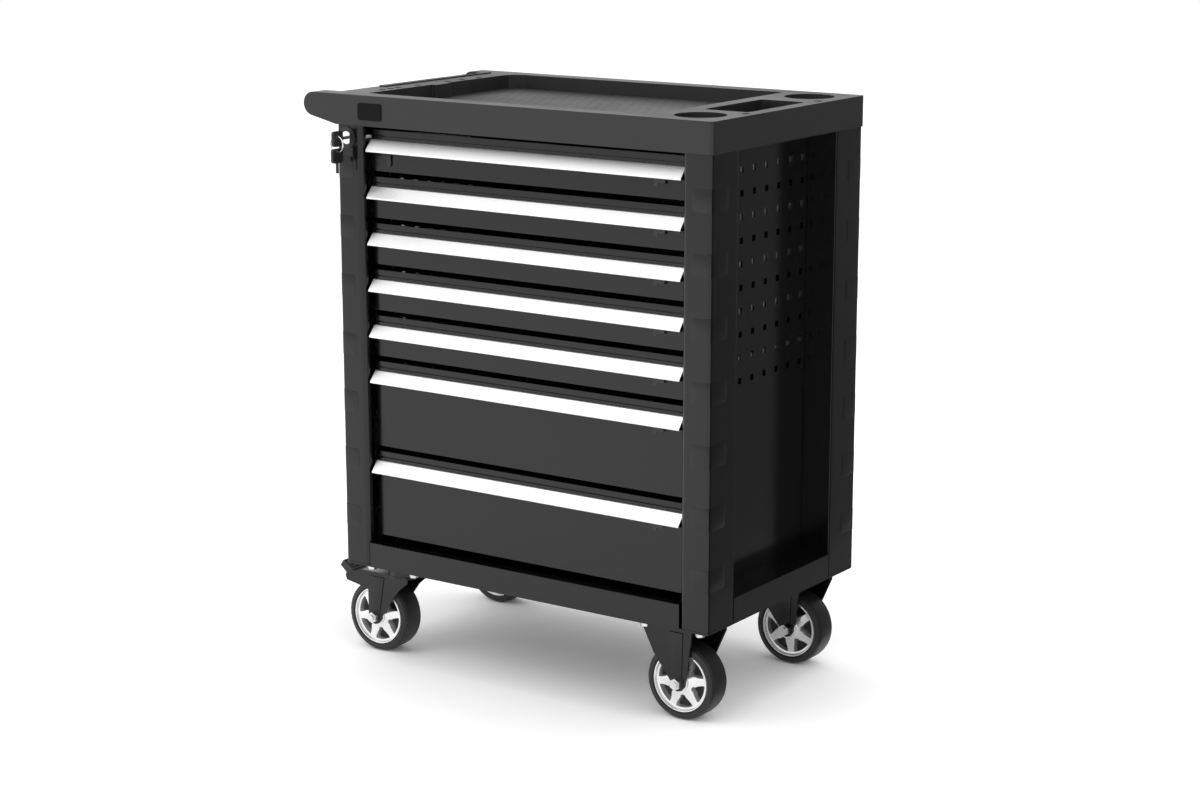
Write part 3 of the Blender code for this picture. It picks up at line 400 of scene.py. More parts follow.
def brushed_group():
    """Fine lines along X, as brushing leaves on metal: a height and a roughness."""
    if "Brushed lines" in bpy.data.node_groups:
        return bpy.data.node_groups["Brushed lines"]
    group, given, result = new_group(
        "Brushed lines",
        (
            ("Length", "NodeSocketFloat", 0.12),
            ("Width", "NodeSocketFloat", 0.0005),
            ("Low roughness", "NodeSocketFloat", 0.3),
            ("High roughness", "NodeSocketFloat", 0.4),
        ),
        (("Height", "NodeSocketFloat"), ("Roughness", "NodeSocketFloat")),
    )
    nodes = group.nodes
    link = group.links.new
    place = nodes.new("ShaderNodeTexCoord")
    scale = nodes.new("ShaderNodeCombineXYZ")
    for label, axes in (("Length", "X"), ("Width", "YZ")):
        inverse = math_socket(group, "DIVIDE", 1.0, given.outputs[label])
        for axis in axes:
            link(inverse, scale.inputs[axis])
    stretch = nodes.new("ShaderNodeVectorMath")
    stretch.operation = "MULTIPLY"
    link(place.outputs["Object"], stretch.inputs[0])
    link(scale.outputs[0], stretch.inputs[1])
    noise = nodes.new("ShaderNodeTexNoise")
    noise.inputs["Scale"].default_value = 1.0
    noise.inputs["Detail"].default_value = 2.0
    link(stretch.outputs[0], noise.inputs["Vector"])
    link(noise.outputs["Fac"], result.inputs["Height"])
    wandering_roughness(group, given, result, noise.outputs["Fac"])
    return group


# Materials

# How far roughness wanders over a plain finish, and over what distance
PATCH_SIZE = 0.15
LOW_ROUGHNESS_SHARE = 0.88
HIGH_ROUGHNESS_SHARE = 1.14
# The handles' brushing: its depth, and how far it takes roughness down and up
BRUSH_DEPTH = 0.00001
SMOOTHER = 0.05
ROUGHER = 0.08
# The mat's grooves, as shares of a tile, with the painted shade that darkens them, and
# their depth
GROOVE_SHARE = 0.07
LIGHT_TILE_SHARE = 1.5
GROOVE_SHADE_SHARE = 0.25
GROOVE_DEPTH = 0.0020


def placed(material, group, values):
    """A shader group in a material, with some of its values set."""
    node = material.node_tree.nodes.new("ShaderNodeGroup")
    node.node_tree = group
    for label, value in values.items():
        node.inputs[label].default_value = value
    return node


def fresh_material(name):
    """A new material, with its shader."""
    material = bpy.data.materials.new(name)
    material.use_nodes = True
    return material, material.node_tree.nodes["Principled BSDF"]


def relief(material, shader, height, distance, invert=False):
    """Lets a height raise a shader's surface."""
    bump = material.node_tree.nodes.new("ShaderNodeBump")
    bump.invert = invert
    bump.inputs["Strength"].default_value = 1.0
    bump.inputs["Distance"].default_value = distance
    link = material.node_tree.links.new
    link(height, bump.inputs["Height"])
    link(bump.outputs["Normal"], shader.inputs["Normal"])


def finish(name, colour, roughness, grain=0.001, bump=0.0, dust=0.0, **shader_values):
    """A plain finish with a fine grain, wandering roughness and a trace of dust."""
    if name in bpy.data.materials:
        return bpy.data.materials[name]
    material, shader = fresh_material(name)
    link = material.node_tree.links.new
    for label, value in shader_values.items():
        shader.inputs[label.replace("_", " ")].default_value = value
    grained = placed(
        material,
        grain_group(),
        {
            "Grain size": grain,
            "Patch size": PATCH_SIZE,
            "Low roughness": roughness * LOW_ROUGHNESS_SHARE,
            "High roughness": roughness * HIGH_ROUGHNESS_SHARE,
        },
    )
    link(grained.outputs["Roughness"], shader.inputs["Roughness"])
    if bump:
        relief(material, shader, grained.outputs["Height"], bump)
    if dust:
        dusty = placed(
            material, dust_group(), {"Colour": (*colour, 1.0), "Amount": dust}
        )
        link(dusty.outputs["Colour"], shader.inputs["Base Color"])
    else:
        shader.inputs["Base Color"].default_value = (*colour, 1.0)
    return material


def black_paint():
    """The smooth black paint of the cabinet, drawers and caster legs."""
    paint = settings().paint
    return finish(
        "Black paint",
        paint.colour,
        paint.roughness,
        grain=0.0022,
        bump=0.00002,
        dust=0.012,
        Specular_IOR_Level=0.42,
    )


def tray_plastic():
    """The grained plastic of the moulded tray."""
    tray = settings().tray
    return finish(
        "Tray plastic", tray.colour, 0.42, grain=tray.grain, bump=0.00012, dust=0.03
    )


def black_plastic():
    """The plastic of latches, lock barrel, key heads and pedals."""
    return finish(
        "Black plastic", (0.012, 0.012, 0.012), 0.38, grain=0.0008, bump=0.00004
    )


def badge_black():
    """The dull black of the bare badge plate."""
    return finish(
        "Badge black",
        (0.003, 0.003, 0.003),
        0.3,
        grain=0.0006,
        bump=0.00001,
        Specular_IOR_Level=0.12,
    )


def cap_plastic_and_painted_shade():
    """The dark plastic of the handles' end caps, and the painted shade of the dark ring
    behind the rims' windows.
    """
    return finish(
        "Cap plastic and painted shade", (0.006, 0.006, 0.006), 0.5, grain=0.0008, bump=0.00004
    )


def printed_grey():
    """The ink of the marks on the handles."""
    return finish(
        "Printed grey", (0.30, 0.30, 0.31), 0.6, grain=0.0005, bump=0.00001
    )


def chrome():
    """The bright plating of the lock plug and the key ring."""
    return finish(
        "Chrome", (0.86, 0.86, 0.87), 0.09, grain=0.004, bump=0.00001, Metallic=1.0
    )


def zinc():
    """The plating of bolts, axles and the slides inside."""
    colour = (0.70, 0.71, 0.72)
    return finish(
        "Bright zinc", colour, 0.27, grain=0.0012, bump=0.00003, Metallic=1.0
    )


def tyre_rubber():
    """The black rubber of the tyres."""
    colour = settings().wheels.tyre_colour
    return finish("Tyre rubber", colour, 0.46, grain=0.0009, bump=0.00006, dust=0.03)


def rim_silver():
    """The silver finish of the rims."""
    colour = settings().wheels.rim_colour
    return finish(
        "Rim silver", colour, 0.22, grain=0.0015, bump=0.00002, Metallic=0.75
    )


def handle_aluminium():
    """Anodised strip, brushed lengthwise."""
    trim = settings().trim
    if "Handle aluminium" in bpy.data.materials:
        return bpy.data.materials["Handle aluminium"]
    material, shader = fresh_material("Handle aluminium")
    shader.inputs["Base Color"].default_value = (*trim.handle_colour, 1.0)
    shader.inputs["Metallic"].default_value = 0.9
    lines = placed(
        material,
        brushed_group(),
        {
            "Low roughness": trim.handle_roughness - SMOOTHER,
            "High roughness": trim.handle_roughness + ROUGHER,
        },
    )
    relief(material, shader, lines.outputs["Height"], BRUSH_DEPTH)
    link = material.node_tree.links.new
    link(lines.outputs["Roughness"], shader.inputs["Roughness"])
    return material


def mat_rubber():
    """The mat: small raised squares in rows, like a fine brick bond, with painted shade
    darkening the grooves between them.
    """
    tray = settings().tray
    if "Mat rubber" in bpy.data.materials:
        return bpy.data.materials["Mat rubber"]
    material, shader = fresh_material("Mat rubber")
    nodes = material.node_tree.nodes
    link = material.node_tree.links.new
    place = nodes.new("ShaderNodeTexCoord")
    bricks = nodes.new("ShaderNodeTexBrick")
    bricks.offset = 0.5
    bricks.inputs["Scale"].default_value = 1.0
    bricks.inputs["Brick Width"].default_value = tray.mat_tile
    bricks.inputs["Row Height"].default_value = tray.mat_tile
    bricks.inputs["Mortar Size"].default_value = tray.mat_tile * GROOVE_SHARE
    bricks.inputs["Mortar Smooth"].default_value = 0.4
    # The grooves' colour is painted shade: the mat's colour darkened in the recesses
    # between the squares
    for label, share in (
        ("Color1", 1.0),
        ("Color2", LIGHT_TILE_SHARE),
        ("Mortar", GROOVE_SHADE_SHARE),
    ):
        colour = (*(c * share for c in tray.mat_colour), 1.0)
        bricks.inputs[label].default_value = colour
    link(place.outputs["Object"], bricks.inputs["Vector"])
    link(bricks.outputs["Color"], shader.inputs["Base Color"])
    relief(material, shader, bricks.outputs["Fac"], GROOVE_DEPTH, invert=True)
    grained = placed(
        material,
        grain_group(),
        {"Grain size": 0.001, "Low roughness": 0.42, "High roughness": 0.56},
    )
    link(grained.outputs["Roughness"], shader.inputs["Roughness"])
    return material


# Pieces

# Points closer than these become one: in a finished piece, a node's copy and a spun one
PIECE_WELD = 0.000001
COPY_WELD = 0.00001
SPUN_WELD = 0.000005
SHARP_ANGLE = math.radians(35)
COPY_SHARP_ANGLE = math.radians(30)
FLAT_ANGLE = math.radians(0.5)


def linked(name, shape):
    """An object in the scene made of a bmesh, which is used up."""
    mesh = bpy.data.meshes.new(name)
    shape.to_mesh(mesh)
    shape.free()
    made = bpy.data.objects.new(name, mesh)
    bpy.context.scene.collection.objects.link(made)
    return made


def new_piece(name, shape, body, material, sharp=SHARP_ANGLE):
    """An object of its own from a bmesh, riding on a body of the cart."""
    bmesh.ops.remove_doubles(shape, verts=shape.verts, dist=PIECE_WELD)
    piece = linked(name, shape)
    piece.data.shade_smooth()
    piece.data.set_sharp_from_angle(angle=sharp)
    piece.data.materials.append(material)
    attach(piece, body)
    return piece


def dress(names, material):
    """Gives carried-over nodes of the cart their finish."""
    for name in names:
        node = frame["nodes"][name]
        if not node.material_slots:
            node.data.materials.append(material)
        for place in node.material_slots:
            place.material = material


def body_with(node):
    """The name of the body that a node belongs to."""
    bodies = frame["record"]["behaviour"]["bodies"]
    return next(body for body, nodes in bodies.items() if node in nodes)


def softened(node, edge, material):
    """A copy of a node with small round edges, which stands for the node."""
    sharp = COPY_SHARP_ANGLE
    shape = bmesh.new()
    shape.from_mesh(frame["nodes"][node].data)
    bmesh.ops.remove_doubles(shape, verts=shape.verts, dist=COPY_WELD)
    bmesh.ops.dissolve_limit(
        shape,
        angle_limit=FLAT_ANGLE,
        verts=shape.verts,
        edges=shape.edges,
    )
    rims = [
        e
        for e in shape.edges
        if len(e.link_faces) == 2 and e.calc_face_angle(0) > sharp
    ]
    rounded_edges(shape, rims, edge)
    piece = new_piece(f"{node}_shell", shape, body_with(node), material, sharp)
    weighted = piece.modifiers.new("even shading", "WEIGHTED_NORMAL")
    weighted.keep_sharp = True
    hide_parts(node)
    return piece


def rounded_edges(shape, edges, edge, segments=2):
    """Rounds some edges of a shape."""
    bmesh.ops.bevel(
        shape,
        geom=edges,
        offset=edge,
        offset_type="OFFSET",
        segments=segments,
        profile=0.5,
        affect="EDGES",
        clamp_overlap=True,
        material=-1,
    )


def thickened(shape, faces, shift):
    """Draws some faces of a shape out along a shift."""
    thick = bmesh.ops.extrude_face_region(shape, geom=faces)
    moved = [v for v in thick["geom"] if isinstance(v, bmesh.types.BMVert)]
    bmesh.ops.translate(shape, vec=shift, verts=moved)


def plate_shape(outline, normal, thickness):
    """A flat plate: an outline of points, made thick along a direction."""
    shape = bmesh.new()
    face = shape.faces.new([shape.verts.new(point) for point in outline])
    thickened(shape, [face], Vector(normal) * thickness)
    bmesh.ops.recalc_face_normals(shape, faces=shape.faces)
    return shape


def spun(profile, centre, steps):
    """A closed profile of (radius, place along Y), spun round Y about a centre."""
    shape = bmesh.new()
    ring = [shape.verts.new((radius, place, 0.0)) for radius, place in profile]
    edges = [
        shape.edges.new((here, after)) for here, after in zip(ring, ring[1:] + ring[:1])
    ]
    bmesh.ops.spin(
        shape,
        geom=ring + edges,
        cent=(0, 0, 0),
        axis=(0, 1, 0),
        angle=2 * math.pi,
        steps=steps,
        use_merge=True,
    )
    bmesh.ops.remove_doubles(shape, verts=shape.verts, dist=SPUN_WELD)
    bmesh.ops.recalc_face_normals(shape, faces=shape.faces)
    bmesh.ops.translate(shape, vec=centre, verts=shape.verts)
    return shape


def merged(*shapes):
    """Several bmesh shapes in one."""
    whole = bmesh.new()
    for shape in shapes:
        mesh = bpy.data.meshes.new("part")
        shape.to_mesh(mesh)
        shape.free()
        whole.from_mesh(mesh)
        bpy.data.meshes.remove(mesh)
    return whole


# Steelwork


class TOOLCART_OT_steelwork(bpy.types.Operator):
    """Paints the frame and panels, and rounds the posts' small edges"""

    bl_idname = "toolcart.steelwork"
    bl_label = "Steelwork"

    def execute(self, context):
        paint = black_paint()
        dress(STEEL_NODES, paint)
        edge = settings().paint.edge
        for end in ENDS:
            for side in SIDES:
                softened(f"post_{end}_{side}", edge, paint)
        dress(("slide_rack_left", "slide_rack_right", "lock_bar"), zinc())
        return {"FINISHED"}


# A pressed rectangle: how far it reaches over a post's front and side from the corner,
# the middle of the lowest one, and its own round corners
POST_RADIUS = 0.007
BOSS_FRONT_REACH = 0.0275
BOSS_SIDE_REACH = 0.048
LOWEST_BOSS = 0.2525
BOSS_CORNER = 0.006
# How deep it sits in the post and how round its edge is, as shares of its rise
SUNK_SHARE = 0.6
ROUND_SHARE = 0.95
CORNER_CUTS = 8
CORNER_SEGMENTS = 5
RIM_ANGLE = 1.0


def pressed_rectangle(start, end, low, high, rise):
    """A pressed rectangle laid flat: X along the sheet, Y up, Z off the sheet."""
    shape = bmesh.new()
    bmesh.ops.create_grid(shape, x_segments=1, y_segments=1, size=0.5)
    bmesh.ops.scale(shape, vec=(end - start, high - low, 1), verts=shape.verts)
    middle = ((start + end) / 2, (low + high) / 2, 0)
    bmesh.ops.translate(shape, vec=middle, verts=shape.verts)
    bmesh.ops.bevel(
        shape,
        geom=list(shape.verts),
        offset=BOSS_CORNER,
        offset_type="OFFSET",
        segments=CORNER_SEGMENTS,
        profile=0.5,
        affect="VERTICES",
        clamp_overlap=True,
        material=-1,
    )
    sunk = rise * SUNK_SHARE
    thickened(shape, shape.faces[:], (0, 0, rise + sunk))
    bmesh.ops.translate(shape, vec=(0, 0, -sunk), verts=shape.verts)
    bmesh.ops.recalc_face_normals(shape, faces=shape.faces)
    top = [
        e
        for e in shape.edges
        if all(v.co.z > 0 for v in e.verts) and e.calc_face_angle(0) > RIM_ANGLE
    ]
    rounded_edges(shape, top, rise * ROUND_SHARE, segments=3)
    return shape


def bent_round_post(shape, corner, across, back, radius):
    """Lays a flat shape round a post's corner: X below zero on the front face, above
    on the side face."""
    reach = radius * math.pi / 2
    for step in range(CORNER_CUTS + 1):
        bmesh.ops.bisect_plane(
            shape,
            geom=shape.verts[:] + shape.edges[:] + shape.faces[:],
            plane_co=((step / CORNER_CUTS) * reach, 0, 0),
            plane_no=(1, 0, 0),
        )
    centre = corner + radius * (across + back)
    for vertex in shape.verts:
        along, height, off = vertex.co
        if along <= 0:
            place = centre - along * across - (radius + off) * back
        elif along >= reach:
            place = centre + (along - reach) * back - (radius + off) * across
        else:
            turn = along / radius
            outward = -math.cos(turn) * back - math.sin(turn) * across
            place = centre + (radius + off) * outward
        vertex.co = Vector((place.x, place.y, height))
    bmesh.ops.recalc_face_normals(shape, faces=shape.faces)
    return shape


class TOOLCART_OT_pressed_rectangles(bpy.types.Operator):
    """Adds the column of pressed rectangles round each post's corner"""

    bl_idname = "toolcart.pressed_rectangles"
    bl_label = "Pressed Rectangles"

    def execute(self, context):
        paint = settings().paint
        radius = POST_RADIUS
        for end in ENDS:
            for side in SIDES:
                low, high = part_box(f"post_{end}_{side}")
                x = low[0] if side == "left" else high[0]
                y = low[1] if end == "front" else high[1]
                across = Vector((1 if side == "left" else -1, 0, 0))
                back = Vector((0, 1 if end == "front" else -1, 0))
                shapes = []
                for row in range(paint.boss_count):
                    middle = LOWEST_BOSS + paint.boss_pitch * row
                    flat = pressed_rectangle(
                        -BOSS_FRONT_REACH,
                        BOSS_SIDE_REACH + radius * (math.pi / 2 - 1),
                        middle - paint.boss_height / 2,
                        middle + paint.boss_height / 2,
                        paint.boss_rise,
                    )
                    shapes.append(
                        bent_round_post(flat, Vector((x, y, 0)), across, back, radius)
                    )
                new_piece(
                    f"pressed_rectangles_{end}_{side}",
                    merged(*shapes),
                    "cabinet",
                    black_paint(),
                )
        return {"FINISHED"}


# Drawers

SMALL_EDGE = 0.0004
HANDLE_EDGE = 0.00035
# The catch under the top handle: its outline over X and Z, its foot in the drawer's
# front and how far it stands out
CATCH_OUTLINE = (
    (-0.2584, 0.8790),
    (-0.2365, 0.8790),
    (-0.2365, 0.8625),
    (-0.2385, 0.8590),
    (-0.2412, 0.8580),
    (-0.2440, 0.8590),
    (-0.2458, 0.8625),
    (-0.2458, 0.8722),
    (-0.2584, 0.8722),
)
CATCH_FOOT = -0.1932
CATCH_DEPTH = 0.0035
# A cap in a handle's end: its steps in from the handle's box, and how deep it lies
CAP_TOP_STEP = 0.0022
CAP_TOP_DEPTH = 0.0034
CAP_FRONT_STEP = 0.0028
CAP_FRONT_RISE = 0.0016
CAP_BACK_STEP = 0.0050
CAP_BOTTOM_STEP = 0.0004
CAP_INSET = 0.0012


class TOOLCART_OT_drawers(bpy.types.Operator):
    """Paints the drawers with round sheet edges, and adds the top one's catch"""

    bl_idname = "toolcart.drawers"
    bl_label = "Drawers"

    def execute(self, context):
        for number in DRAWERS:
            softened(
                f"drawer_{number}",
                settings().paint.edge,
                black_paint(),
            )
            softened(
                f"drawer_{number}_latch", SMALL_EDGE, black_plastic()
            )
        new_piece(
            "drawer_1_catch",
            catch_shape(),
            "drawer_1",
            black_plastic(),
        )
        return {"FINISHED"}


def catch_shape():
    """The small hooked catch under the left end of the top drawer's handle."""
    outline = [(x, CATCH_FOOT, z) for x, z in CATCH_OUTLINE]
    shape = plate_shape(outline, (0, -1, 0), CATCH_DEPTH)
    rounded_edges(shape, shape.edges[:], SMALL_EDGE)
    return shape


class TOOLCART_OT_handles(bpy.types.Operator):
    """Finishes the handle strips and closes their ends with black caps"""

    bl_idname = "toolcart.handles"
    bl_label = "Handles"

    def execute(self, context):
        trim = settings().trim
        for number in DRAWERS:
            name = f"drawer_{number}_handle"
            softened(name, HANDLE_EDGE, handle_aluminium())
            low, high = (Vector(corner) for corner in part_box(name))
            caps = []
            for x, way in ((low.x, -1), (high.x, 1)):
                outline = [
                    (x, high.y, high.z - CAP_TOP_STEP),
                    (x, high.y - CAP_TOP_DEPTH, high.z - CAP_TOP_STEP),
                    (x, low.y + CAP_FRONT_STEP, low.z + CAP_FRONT_RISE),
                    (x, low.y + CAP_BACK_STEP, low.z + CAP_BOTTOM_STEP),
                    (x, high.y, low.z + CAP_BOTTOM_STEP),
                ]
                shift = Vector((-way * CAP_INSET, 0, 0))
                outline = [Vector(point) + shift for point in outline]
                cap = plate_shape(outline, (way, 0, 0), trim.cap_thickness)
                caps.append(cap)
            new_piece(
                f"handle_caps_{number}",
                merged(*caps),
                f"drawer_{number}",
                cap_plastic_and_painted_shade(),
            )
        return {"FINISHED"}


# The mark on a handle: where its foot lies on the slope and from the right end, the
# slope's line inside the handle's box, and the ink's thickness and rise off the strip
MARK_SLOPE_SHARE = 0.24
MARK_FROM_END = 0.028
SLOPE_TOP_STEP = 0.0040
SLOPE_BOTTOM_RISE = 0.0012
INK_DEPTH = 0.0003
INK_RISE = 0.00012
ARROW_STEPS = 4


def padlock_mark(height):
    """An open padlock and an arrow that points to it, drawn flat: X right, Y up."""
    shapes = []
    body = height * 0.5
    width = height * 0.62
    line = height * 0.11
    bow_left = -width * 0.05
    bow_top = body * 1.55
    arrow_tail = -width * 0.8 - height * 1.15
    arrow_head = -width * 0.8 - height * 0.2
    arrow_foot = body * 0.42
    barb = line * 0.8

    def bar(x0, y0, x1, y1):
        """Adds a bar between two corners."""
        shape = bmesh.new()
        bmesh.ops.create_grid(shape, x_segments=1, y_segments=1, size=0.5)
        bmesh.ops.scale(shape, vec=(x1 - x0, y1 - y0, 1), verts=shape.verts)
        bmesh.ops.translate(
            shape, vec=((x0 + x1) / 2, (y0 + y1) / 2, 0), verts=shape.verts
        )
        shapes.append(shape)

    bar(-width / 2, 0, -width / 2 + line, body)
    bar(width / 2 - line, 0, width / 2, body)
    bar(-width / 2 + line, 0, width / 2 - line, line)
    bar(-width / 2 + line, body - line, width / 2 - line, body)
    bar(-line / 2, body * 0.35, line / 2, body * 0.65)
    bar(width / 2 - line * 1.5, body, width / 2 - line * 0.5, bow_top)
    bar(bow_left, bow_top, width / 2 - line * 0.5, bow_top + line)
    bar(bow_left, body * 1.25, bow_left + line, bow_top)
    bar(arrow_tail, arrow_foot, arrow_head, arrow_foot + barb)
    middle = arrow_foot + line * 0.4
    for step in range(ARROW_STEPS):
        reach = (ARROW_STEPS - 1 - step) * line * 0.55
        x = arrow_head + step * barb
        bar(x, middle - reach, x + barb, middle + reach)
    return merged(*shapes)


class TOOLCART_OT_handle_marks(bpy.types.Operator):
    """Prints an open padlock and an arrow near the right end of each handle"""

    bl_idname = "toolcart.handle_marks"
    bl_label = "Handle Marks"

    def execute(self, context):
        for number in DRAWERS:
            low, high = (Vector(c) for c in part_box(f"drawer_{number}_handle"))
            top = Vector((0, high.y - SLOPE_TOP_STEP, high.z))
            bottom = Vector((0, low.y, low.z + SLOPE_BOTTOM_RISE))
            slope = (top - bottom).normalized()
            off = Vector((0, -slope.z, slope.y))
            shape = padlock_mark(settings().trim.mark_height)
            foot = bottom.lerp(top, MARK_SLOPE_SHARE) + off * INK_RISE
            foot.x = high.x - MARK_FROM_END
            turn = Matrix((
                (1, 0, 0, foot.x),
                (0, slope.y, off.y, foot.y),
                (0, slope.z, off.z, foot.z),
                (0, 0, 0, 1),
            ))
            bmesh.ops.transform(shape, matrix=turn, verts=shape.verts)
            thickened(shape, shape.faces[:], -off * INK_DEPTH)
            bmesh.ops.recalc_face_normals(shape, faces=shape.faces)
            new_piece(
                f"handle_mark_{number}",
                shape,
                f"drawer_{number}",
                printed_grey(),
            )
        return {"FINISHED"}


# Tray


class TOOLCART_OT_tray(bpy.types.Operator):
    """Finishes the moulded tray, its mat and the bare badge plate"""

    bl_idname = "toolcart.tray"
    bl_label = "Tray"

    def execute(self, context):
        dress(("top_tray",), tray_plastic())
        dress(("tray_mat",), mat_rubber())
        softened("blank_badge", SMALL_EDGE, badge_black())
        return {"FINISHED"}


# Lock and keys


class TOOLCART_OT_lock(bpy.types.Operator):
    """Finishes the lock, its keys and their ring"""

    bl_idname = "toolcart.lock"
    bl_label = "Lock"

    def execute(self, context):
        dress(("lock_barrel", "key", "spare_key"), black_plastic())
        dress(("lock_plug", "key_ring"), chrome())
        return {"FINISHED"}


# Casters

RIM_SEAT = 0.051
# A window of a rim: its inner and outer reach, its nose and the bulge of its flanks
WINDOW_INNER = 0.0215
WINDOW_OUTER = 0.0438
WINDOW_NOSE = 0.0052
FLANK_BULGE = 0.0030
WINDOW_STEPS = 8
FLANK_STEPS = 6
# The rim's lip, its half width, and the round edge of its windows
LIP_RADIUS = 0.0507
RIM_HALF = 0.0225
WINDOW_EDGE = 0.0007
WINDOW_EDGE_REACH = (0.019, 0.044)
WINDOW_EDGE_ANGLE = math.radians(50)
RIM_SHARP_ANGLE = math.radians(32)
CUT_DEPTH = 0.03
# The painted shade behind the windows: a dark ring that stands in for the shaded inside
# of the rim
SHADE_RING_INNER = 0.0165
SHADE_RING_OUTER = 0.0462
SHADE_RING_HALF = 0.006
# How far each rim is turned in the photograph, in degrees
WHEEL_TURNS = {"front_left": 40, "rear_left": 40, "front_right": 38, "rear_right": 5}


def tyre_profile(inner, outer, half):
    """A tyre's section: a low bead ring at the rim, a flat side, a groove at the
    shoulder and a crowned tread."""
    side = [
        (inner - 0.0002, half - 0.0040),
        (inner + 0.0008, half - 0.0036),
        (inner + 0.0014, half - 0.0012),
        (inner + 0.0024, half - 0.0003),
        (inner + 0.0040, half - 0.0002),
        (inner + 0.0050, half - 0.0010),
        (outer - 0.0050, half - 0.0012),
        (outer - 0.0030, half - 0.0018),
        (outer - 0.0016, half - 0.0034),
        (outer - 0.0009, half - 0.0056),
        (outer - 0.0016, half - 0.0066),
        (outer - 0.0006, half - 0.0076),
        (outer, half - 0.0130),
    ]
    return side + [(radius, -place) for radius, place in reversed(side)]


def window_cutter(turn, depth):
    """One window of a rim as a prism along Y: a leaf, wide at the rim and narrow and
    round at the hub."""
    half = settings().wheels.window_angle
    nose = WINDOW_NOSE
    ahead = Vector((math.cos(turn), 0, math.sin(turn)))
    side = Vector((-math.sin(turn), 0, math.cos(turn)))
    rim_edge = []
    nose_edge = []
    for step in range(WINDOW_STEPS + 1):
        angle = turn - half + 2 * half * step / WINDOW_STEPS
        x, z = WINDOW_OUTER * math.cos(angle), WINDOW_OUTER * math.sin(angle)
        rim_edge.append(Vector((x, 0, z)))
        angle = math.pi * step / WINDOW_STEPS
        reach = WINDOW_INNER + nose - nose * math.sin(angle)
        nose_edge.append(ahead * reach + side * nose * math.cos(angle))
    points = list(rim_edge)
    points += curved_flank(rim_edge[-1], nose_edge[0], side * FLANK_BULGE)
    points += nose_edge
    points += curved_flank(nose_edge[-1], rim_edge[0], -side * FLANK_BULGE)
    outline = [point - Vector((0, depth, 0)) for point in points]
    return plate_shape(outline, (0, 1, 0), 2 * depth)


def curved_flank(start, end, bulge):
    """Points between two ends of a flank that bulges."""
    middle = (start + end) / 2 + bulge
    flank = []
    for step in range(1, FLANK_STEPS):
        share = step / FLANK_STEPS
        flank.append(start.lerp(middle, share).lerp(middle.lerp(end, share), share))
    return flank


def rim_shape(steps):
    """A dished rim with a lip and a stepped hub, before its windows are cut."""
    side = [
        (0.0062, 0.0245),
        (0.0135, 0.0245),
        (0.0150, 0.0238),
        (0.0155, 0.0205),
        (0.0185, 0.0190),
        (0.0420, 0.0176),
        (0.0448, 0.0178),
        (0.0466, 0.0186),
        (0.0476, 0.0212),
        (0.0484, RIM_HALF),
        (0.0500, RIM_HALF),
        (LIP_RADIUS, RIM_HALF - 0.0008),
        (LIP_RADIUS, RIM_HALF - 0.0030),
    ]
    profile = side + [(radius, -place) for radius, place in reversed(side)]
    return spun(profile, (0, 0, 0), steps)


def painted_window_shade(centre, steps):
    """A dark ring in the middle of a rim: painted shade that shows through its windows
    in place of the shaded inside of the rim.
    """
    profile = [
        (SHADE_RING_INNER, -SHADE_RING_HALF),
        (SHADE_RING_INNER, SHADE_RING_HALF),
        (SHADE_RING_OUTER, SHADE_RING_HALF),
        (SHADE_RING_OUTER, -SHADE_RING_HALF),
    ]
    return spun(profile, centre, steps)


def cut_piece(shape, cutters):
    """A shape after a Boolean with several cutters, all of which are used up."""
    body = linked("cut body", shape)
    tools = [linked("cutter", cutter) for cutter in cutters]
    for tool in tools:
        boolean = body.modifiers.new("cut", "BOOLEAN")
        boolean.operation = "DIFFERENCE"
        boolean.object = tool
    bpy.context.view_layer.update()
    graph = bpy.context.evaluated_depsgraph_get()
    mesh = bpy.data.meshes.new_from_object(body.evaluated_get(graph))
    result = bmesh.new()
    result.from_mesh(mesh)
    for old in [body, *tools]:
        bpy.data.objects.remove(old, do_unlink=True)
    bpy.data.meshes.remove(mesh)
    return result


class TOOLCART_OT_wheels(bpy.types.Operator):
    """Replaces the plain tyres and rims with smooth ones"""

    bl_idname = "toolcart.wheels"
    bl_label = "Wheels"

    def execute(self, context):
        wheels = settings().wheels
        cutters = [
            window_cutter(2 * math.pi * number / wheels.windows, CUT_DEPTH)
            for number in range(wheels.windows)
        ]
        rim = cut_piece(rim_shape(wheels.smoothness), cutters)
        nearest, farthest = WINDOW_EDGE_REACH
        edges = [
            e
            for e in rim.edges
            if len(e.link_faces) == 2
            and e.calc_face_angle(0) > WINDOW_EDGE_ANGLE
            and nearest < math.hypot(e.verts[0].co.x, e.verts[0].co.z) < farthest
        ]
        rounded_edges(rim, edges, WINDOW_EDGE)
        rim_mesh = bpy.data.meshes.new("rim")
        rim.to_mesh(rim_mesh)
        rim.free()
        for name in WHEELS:
            low, high = (Vector(c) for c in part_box(f"tyre_{name}"))
            centre = (low + high) / 2
            body = f"wheel_{name}"
            radius = (high.z - low.z) / 2
            profile = tyre_profile(RIM_SEAT, radius, (high.y - low.y) / 2)
            tyre = spun(profile, centre, wheels.smoothness)
            piece = new_piece(
                f"tyre_{name}_smooth", tyre, body, tyre_rubber()
            )
            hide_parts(f"tyre_{name}")
            shape = bmesh.new()
            shape.from_mesh(rim_mesh)
            turn = Matrix.Rotation(-math.radians(WHEEL_TURNS[name]), 4, "Y")
            bmesh.ops.transform(
                shape, matrix=Matrix.Translation(centre) @ turn, verts=shape.verts
            )
            piece = new_piece(
                f"rim_{name}_smooth",
                shape,
                body,
                rim_silver(),
                RIM_SHARP_ANGLE,
            )
            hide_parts(f"rim_{name}")
            # A dark ring in the wheel's middle, painted shade seen through the rim's
            # windows
            new_piece(
                f"rim_painted_shade_{name}",
                painted_window_shade(centre, wheels.smoothness),
                body,
                cap_plastic_and_painted_shade(),
            )
        bpy.data.meshes.remove(rim_mesh)
        return {"FINISHED"}


LEG_EDGE = 0.0007
AXLE_EDGE = 0.0005
